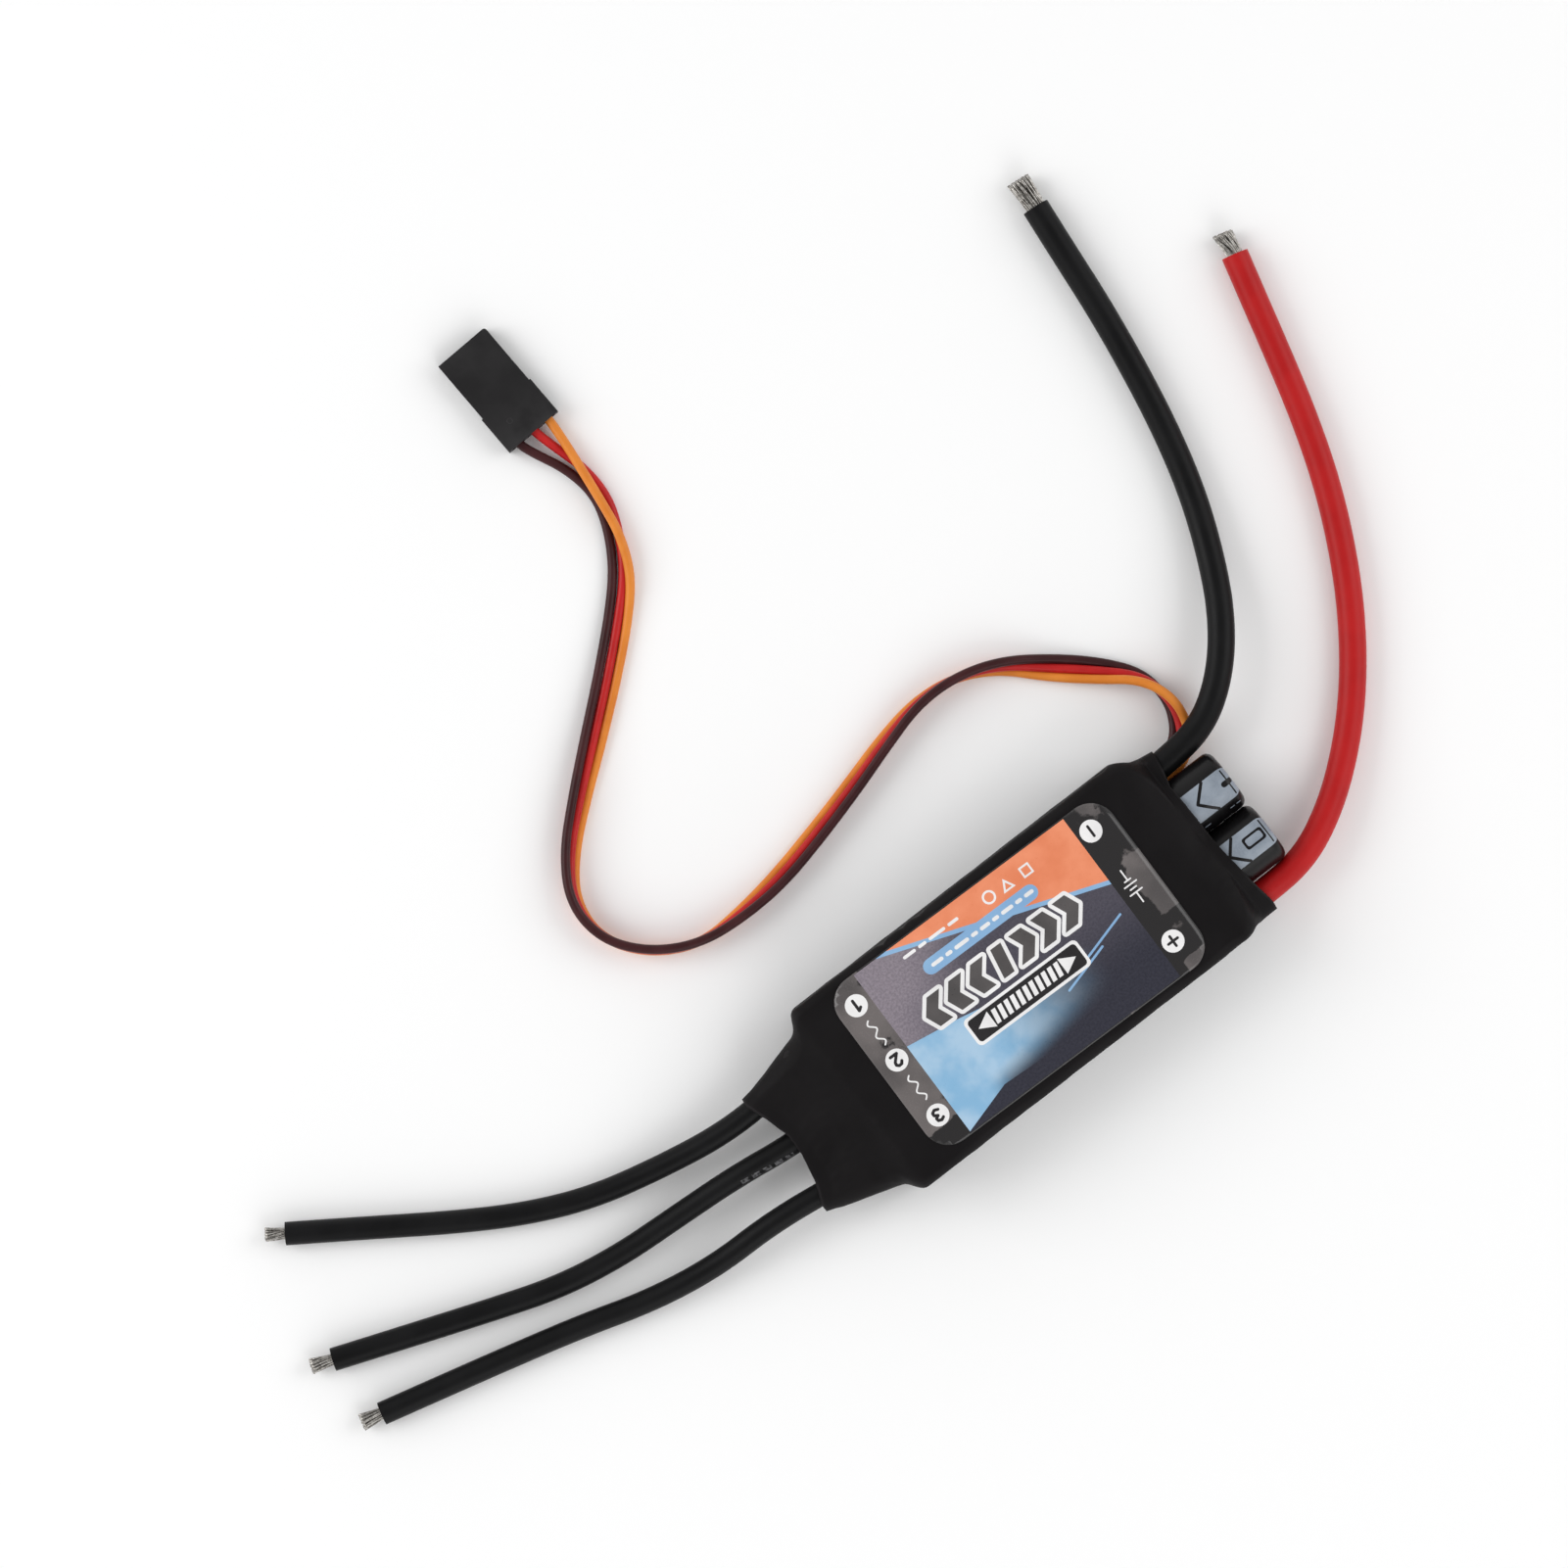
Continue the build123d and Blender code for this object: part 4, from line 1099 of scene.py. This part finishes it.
def make_can(number):
    """A drawn can with a rolled end, and the scored cross that lets it vent."""
    rear, front, axis_y, axis_z = cap_place("can", number)
    rim_in = CAN_R - CAN_CURL_R
    curl = [(CAN_CURL_R * (1 - math.cos(a)), rim_in + CAN_CURL_R * math.sin(a))
            for a in np.linspace(0, math.pi / 2, 9)]
    profile = [(rear + 0.9, rim_in - 0.35), (rear, rim_in - 0.3)]
    profile += [(rear + x, radius) for x, radius in curl]
    profile += [(front - x, radius) for x, radius in curl[::-1]]
    profile += [(front - CAN_END_SINK, radius) for radius in np.linspace(rim_in - 0.25, 0.15, 22)]
    points = []
    rings = []
    for x, radius in profile:
        ring = []
        for a in turns(CAN_SIDES):
            y, z = radius * math.sin(a), radius * math.cos(a)
            score = VENT_DEPTH * bell(min(abs(y), abs(z)), 0, VENT_HALF_WIDTH) * (radius < VENT_REACH)
            ring.append((x - score, axis_y + y, axis_z + z))
        rings.append(added(points, ring))
    faces = joined_rings(zip(rings, rings[1:])) + [rings[-1], rings[0][::-1]]
    can = mesh_object(f"capacitor_body_{number}", points, faces, ["can_aluminium"])
    weld(can)
    stand_in(can, f"capacitor_can_{number}")


def make_capacitors():
    make_wrap(1, (1.1, 5.25), [(33.6, 5.15), (31.6, 3.2), (33.5, 1.2)], [(35.4, 2.85), (37.2, 3.6)], False,
              [[(30.75, 0.3), (31.5, 0.3)], [(34.75, 0.3), (35.25, 0.3)], [(35.7, 0.3), (36.2, 0.3)]])
    make_wrap(2, (-6.55, -2.6), [(32.3, -2.7), (30.75, -4.5), (32.6, -6.45)], [(33.1, -5.25), (36.1, -3.6)],
              True)
    for number in (1, 2):
        make_can(number)


# ======== stranded wire ends
GOLDEN_TURN = math.pi * (3 - math.sqrt(5))
STRAND_SIDES = 6
STRAND_RINGS = 8
STRAND_START = -0.12        # strands start inside the insulation, by this share of their length
OPENING_POWER = 1.4         # above 1 the bundle opens late
STRAY, MOST_STRAY = 0.06, 0.1   # how far a strand's end wanders


def make_tip(node, route, length, strands, root_r, end_r, flat, strand_r, lean, seed):
    """A bundle of fine tinned strands that spreads towards its cut ends, and leans to one side."""
    rng = np.random.default_rng(seed)
    base = Vector(route[-1])
    along = (base - Vector(route[-2])).normalized()
    across = along.cross(UP).normalized()
    upright = across.cross(along).normalized()
    points = []
    faces = []
    for i in range(strands):
        share = math.sqrt((i + 0.5) / strands)
        lay = 0.5 + 0.25 * rng.normal()
        reach = length * min(0.97 + 0.05 * rng.normal(), 1)
        stray = np.clip(rng.normal(0, STRAY, 2), -MOST_STRAY, MOST_STRAY)
        line = []
        for t in np.linspace(STRAND_START, 1, STRAND_RINGS):
            open_t = max(t, 0) ** OPENING_POWER
            radius = share * (root_r + (end_r - root_r) * open_t)
            turn = i * GOLDEN_TURN + lay * t
            sideways = radius * math.cos(turn) + (stray[0] + lean) * open_t
            lift = radius * flat ** open_t * math.sin(turn) + stray[1] * open_t
            line.append(base + along * (t * reach) + across * sideways + upright * lift)
        rings = []
        for before, spot, after in neighbours(line):
            heading = (after - before).normalized()
            side_a = heading.cross(UP).normalized()
            side_b = side_a.cross(heading)
            rings.append(added(points, [spot + (side_a * math.cos(a) + side_b * math.sin(a)) * strand_r
                                        for a in turns(STRAND_SIDES)]))
        faces += joined_rings(zip(rings, rings[1:])) + [rings[0][::-1], rings[-1]]
    tip = mesh_object(f"{node}_strands", points, faces, ["tinned_metal"])
    weld(tip)
    stand_in(tip, node)
    return tip


def make_tips():
    """The five bare ends, keyed by the node that each stands for. Each has a route, a length, a number
    of strands, the bundle's radius where it leaves the wire and at its end, how much it is flattened,
    a strand's radius, a lean to one side, and a seed."""
    sizes = {
        "battery_tip_negative": (BATTERY_ROUTES["negative"], 4.1, 90, 1.2, 1.5, 0.8, 0.115, 0.0, 1),
        "battery_tip_positive": (BATTERY_ROUTES["positive"], 3.1, 90, 0.95, 1.35, 0.9, 0.105, -0.5, 2),
        "motor_tip_a": (MOTOR_ROUTES["a"], 2.6, 50, 0.68, 0.95, 0.9, 0.1, 0.0, 3),
        "motor_tip_b": (MOTOR_ROUTES["b"], 2.95, 50, 0.68, 1.05, 0.8, 0.1, 0.0, 4),
        "motor_tip_c": (MOTOR_ROUTES["c"], 2.8, 50, 0.75, 1.05, 0.8, 0.1, 0.0, 5),
    }
    return {node: make_tip(node, *numbers) for node, numbers in sizes.items()}


# ======== servo plug
PLUG_BEVEL = 0.09
SHARP_FROM = math.radians(40)
FLAT_UP_TO = math.radians(2)
MOULD_MARK_R, MOULD_MARK_BEAD = 0.34, 0.045


def add_ring(work, centre, radius, thickness):
    """Adds a small round bead that lies level, with sizes in millimetres."""
    rows = []
    for a in turns(28):
        row = []
        for b in turns(8):
            reach = radius + thickness * math.cos(b)
            spot = centre + Vector((reach * math.cos(a), reach * math.sin(a), thickness * math.sin(b)))
            row.append(work.verts.new(spot * MM))
        rows.append(row)
    for face in joined_rings(looped(rows)):
        work.faces.new(face)


def make_plug():
    """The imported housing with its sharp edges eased, and a small moulding mark on its upper face."""
    mesh = frame["nodes"]["servo_plug_housing"].data.copy()
    mesh.name = "servo_plug_shell"
    mesh.materials.clear()
    mesh.materials.append(MATERIALS["plug_plastic"])
    shell = placed("servo_plug_shell", mesh)
    work = opened(mesh)
    bmesh.ops.remove_doubles(work, verts=work.verts, dist=0.002 * MM)
    bmesh.ops.dissolve_limit(work, angle_limit=FLAT_UP_TO, verts=work.verts, edges=work.edges)
    sharp = [edge for edge in work.edges if edge.is_manifold and edge.calc_face_angle(0) > SHARP_FROM]
    bmesh.ops.bevel(work, geom=sharp, offset=PLUG_BEVEL * MM, segments=3, affect="EDGES", profile=0.6)
    add_ring(work, plug_point(0.55, 3.0, PLUG_HEIGHT - 0.01), MOULD_MARK_R, MOULD_MARK_BEAD)
    shut(work, mesh)
    mesh.polygons.foreach_set("use_smooth", [False] * len(mesh.polygons))
    stand_in(shell, "servo_plug_housing")
    return shell


MARKED_WIRE = "motor_wire_b"


def make_wires(tips, plug):
    power = [("battery", BATTERY_ROUTES, BATTERY_DIA), ("motor", MOTOR_ROUTES, MOTOR_DIA)]
    for family, routes, diameter in power:
        for name, route in routes.items():
            label = f"{family}_wire_{name}"
            finish = "silicone_red" if name == "positive" else "silicone_black"
            wire = spline_object(f"{label}_jacket", route, diameter)
            wire.data.materials.append(MATERIALS["silicone_marked" if label == MARKED_WIRE else finish])
            stand_in(wire, label)
            spline_length(wire)
    for name, (side, finish) in SERVO_WIRES.items():
        route = ribbon_strand(side) + SERVO_TAILS[name]
        route += [tuple(plug_point(side, depth)) for depth in WIRE_IN_PLUG]
        wire = spline_object(f"servo_wire_{name}_jacket", route, SERVO_DIA)
        wire.data.materials.append(MATERIALS[finish])
        stand_in(wire, f"servo_wire_{name}")
        spline_length(wire)


make_camera()
make_studio()
finish_cad_nodes()
make_wires(make_tips(), make_plug())
make_sleeve()
make_label()
make_capacitors()
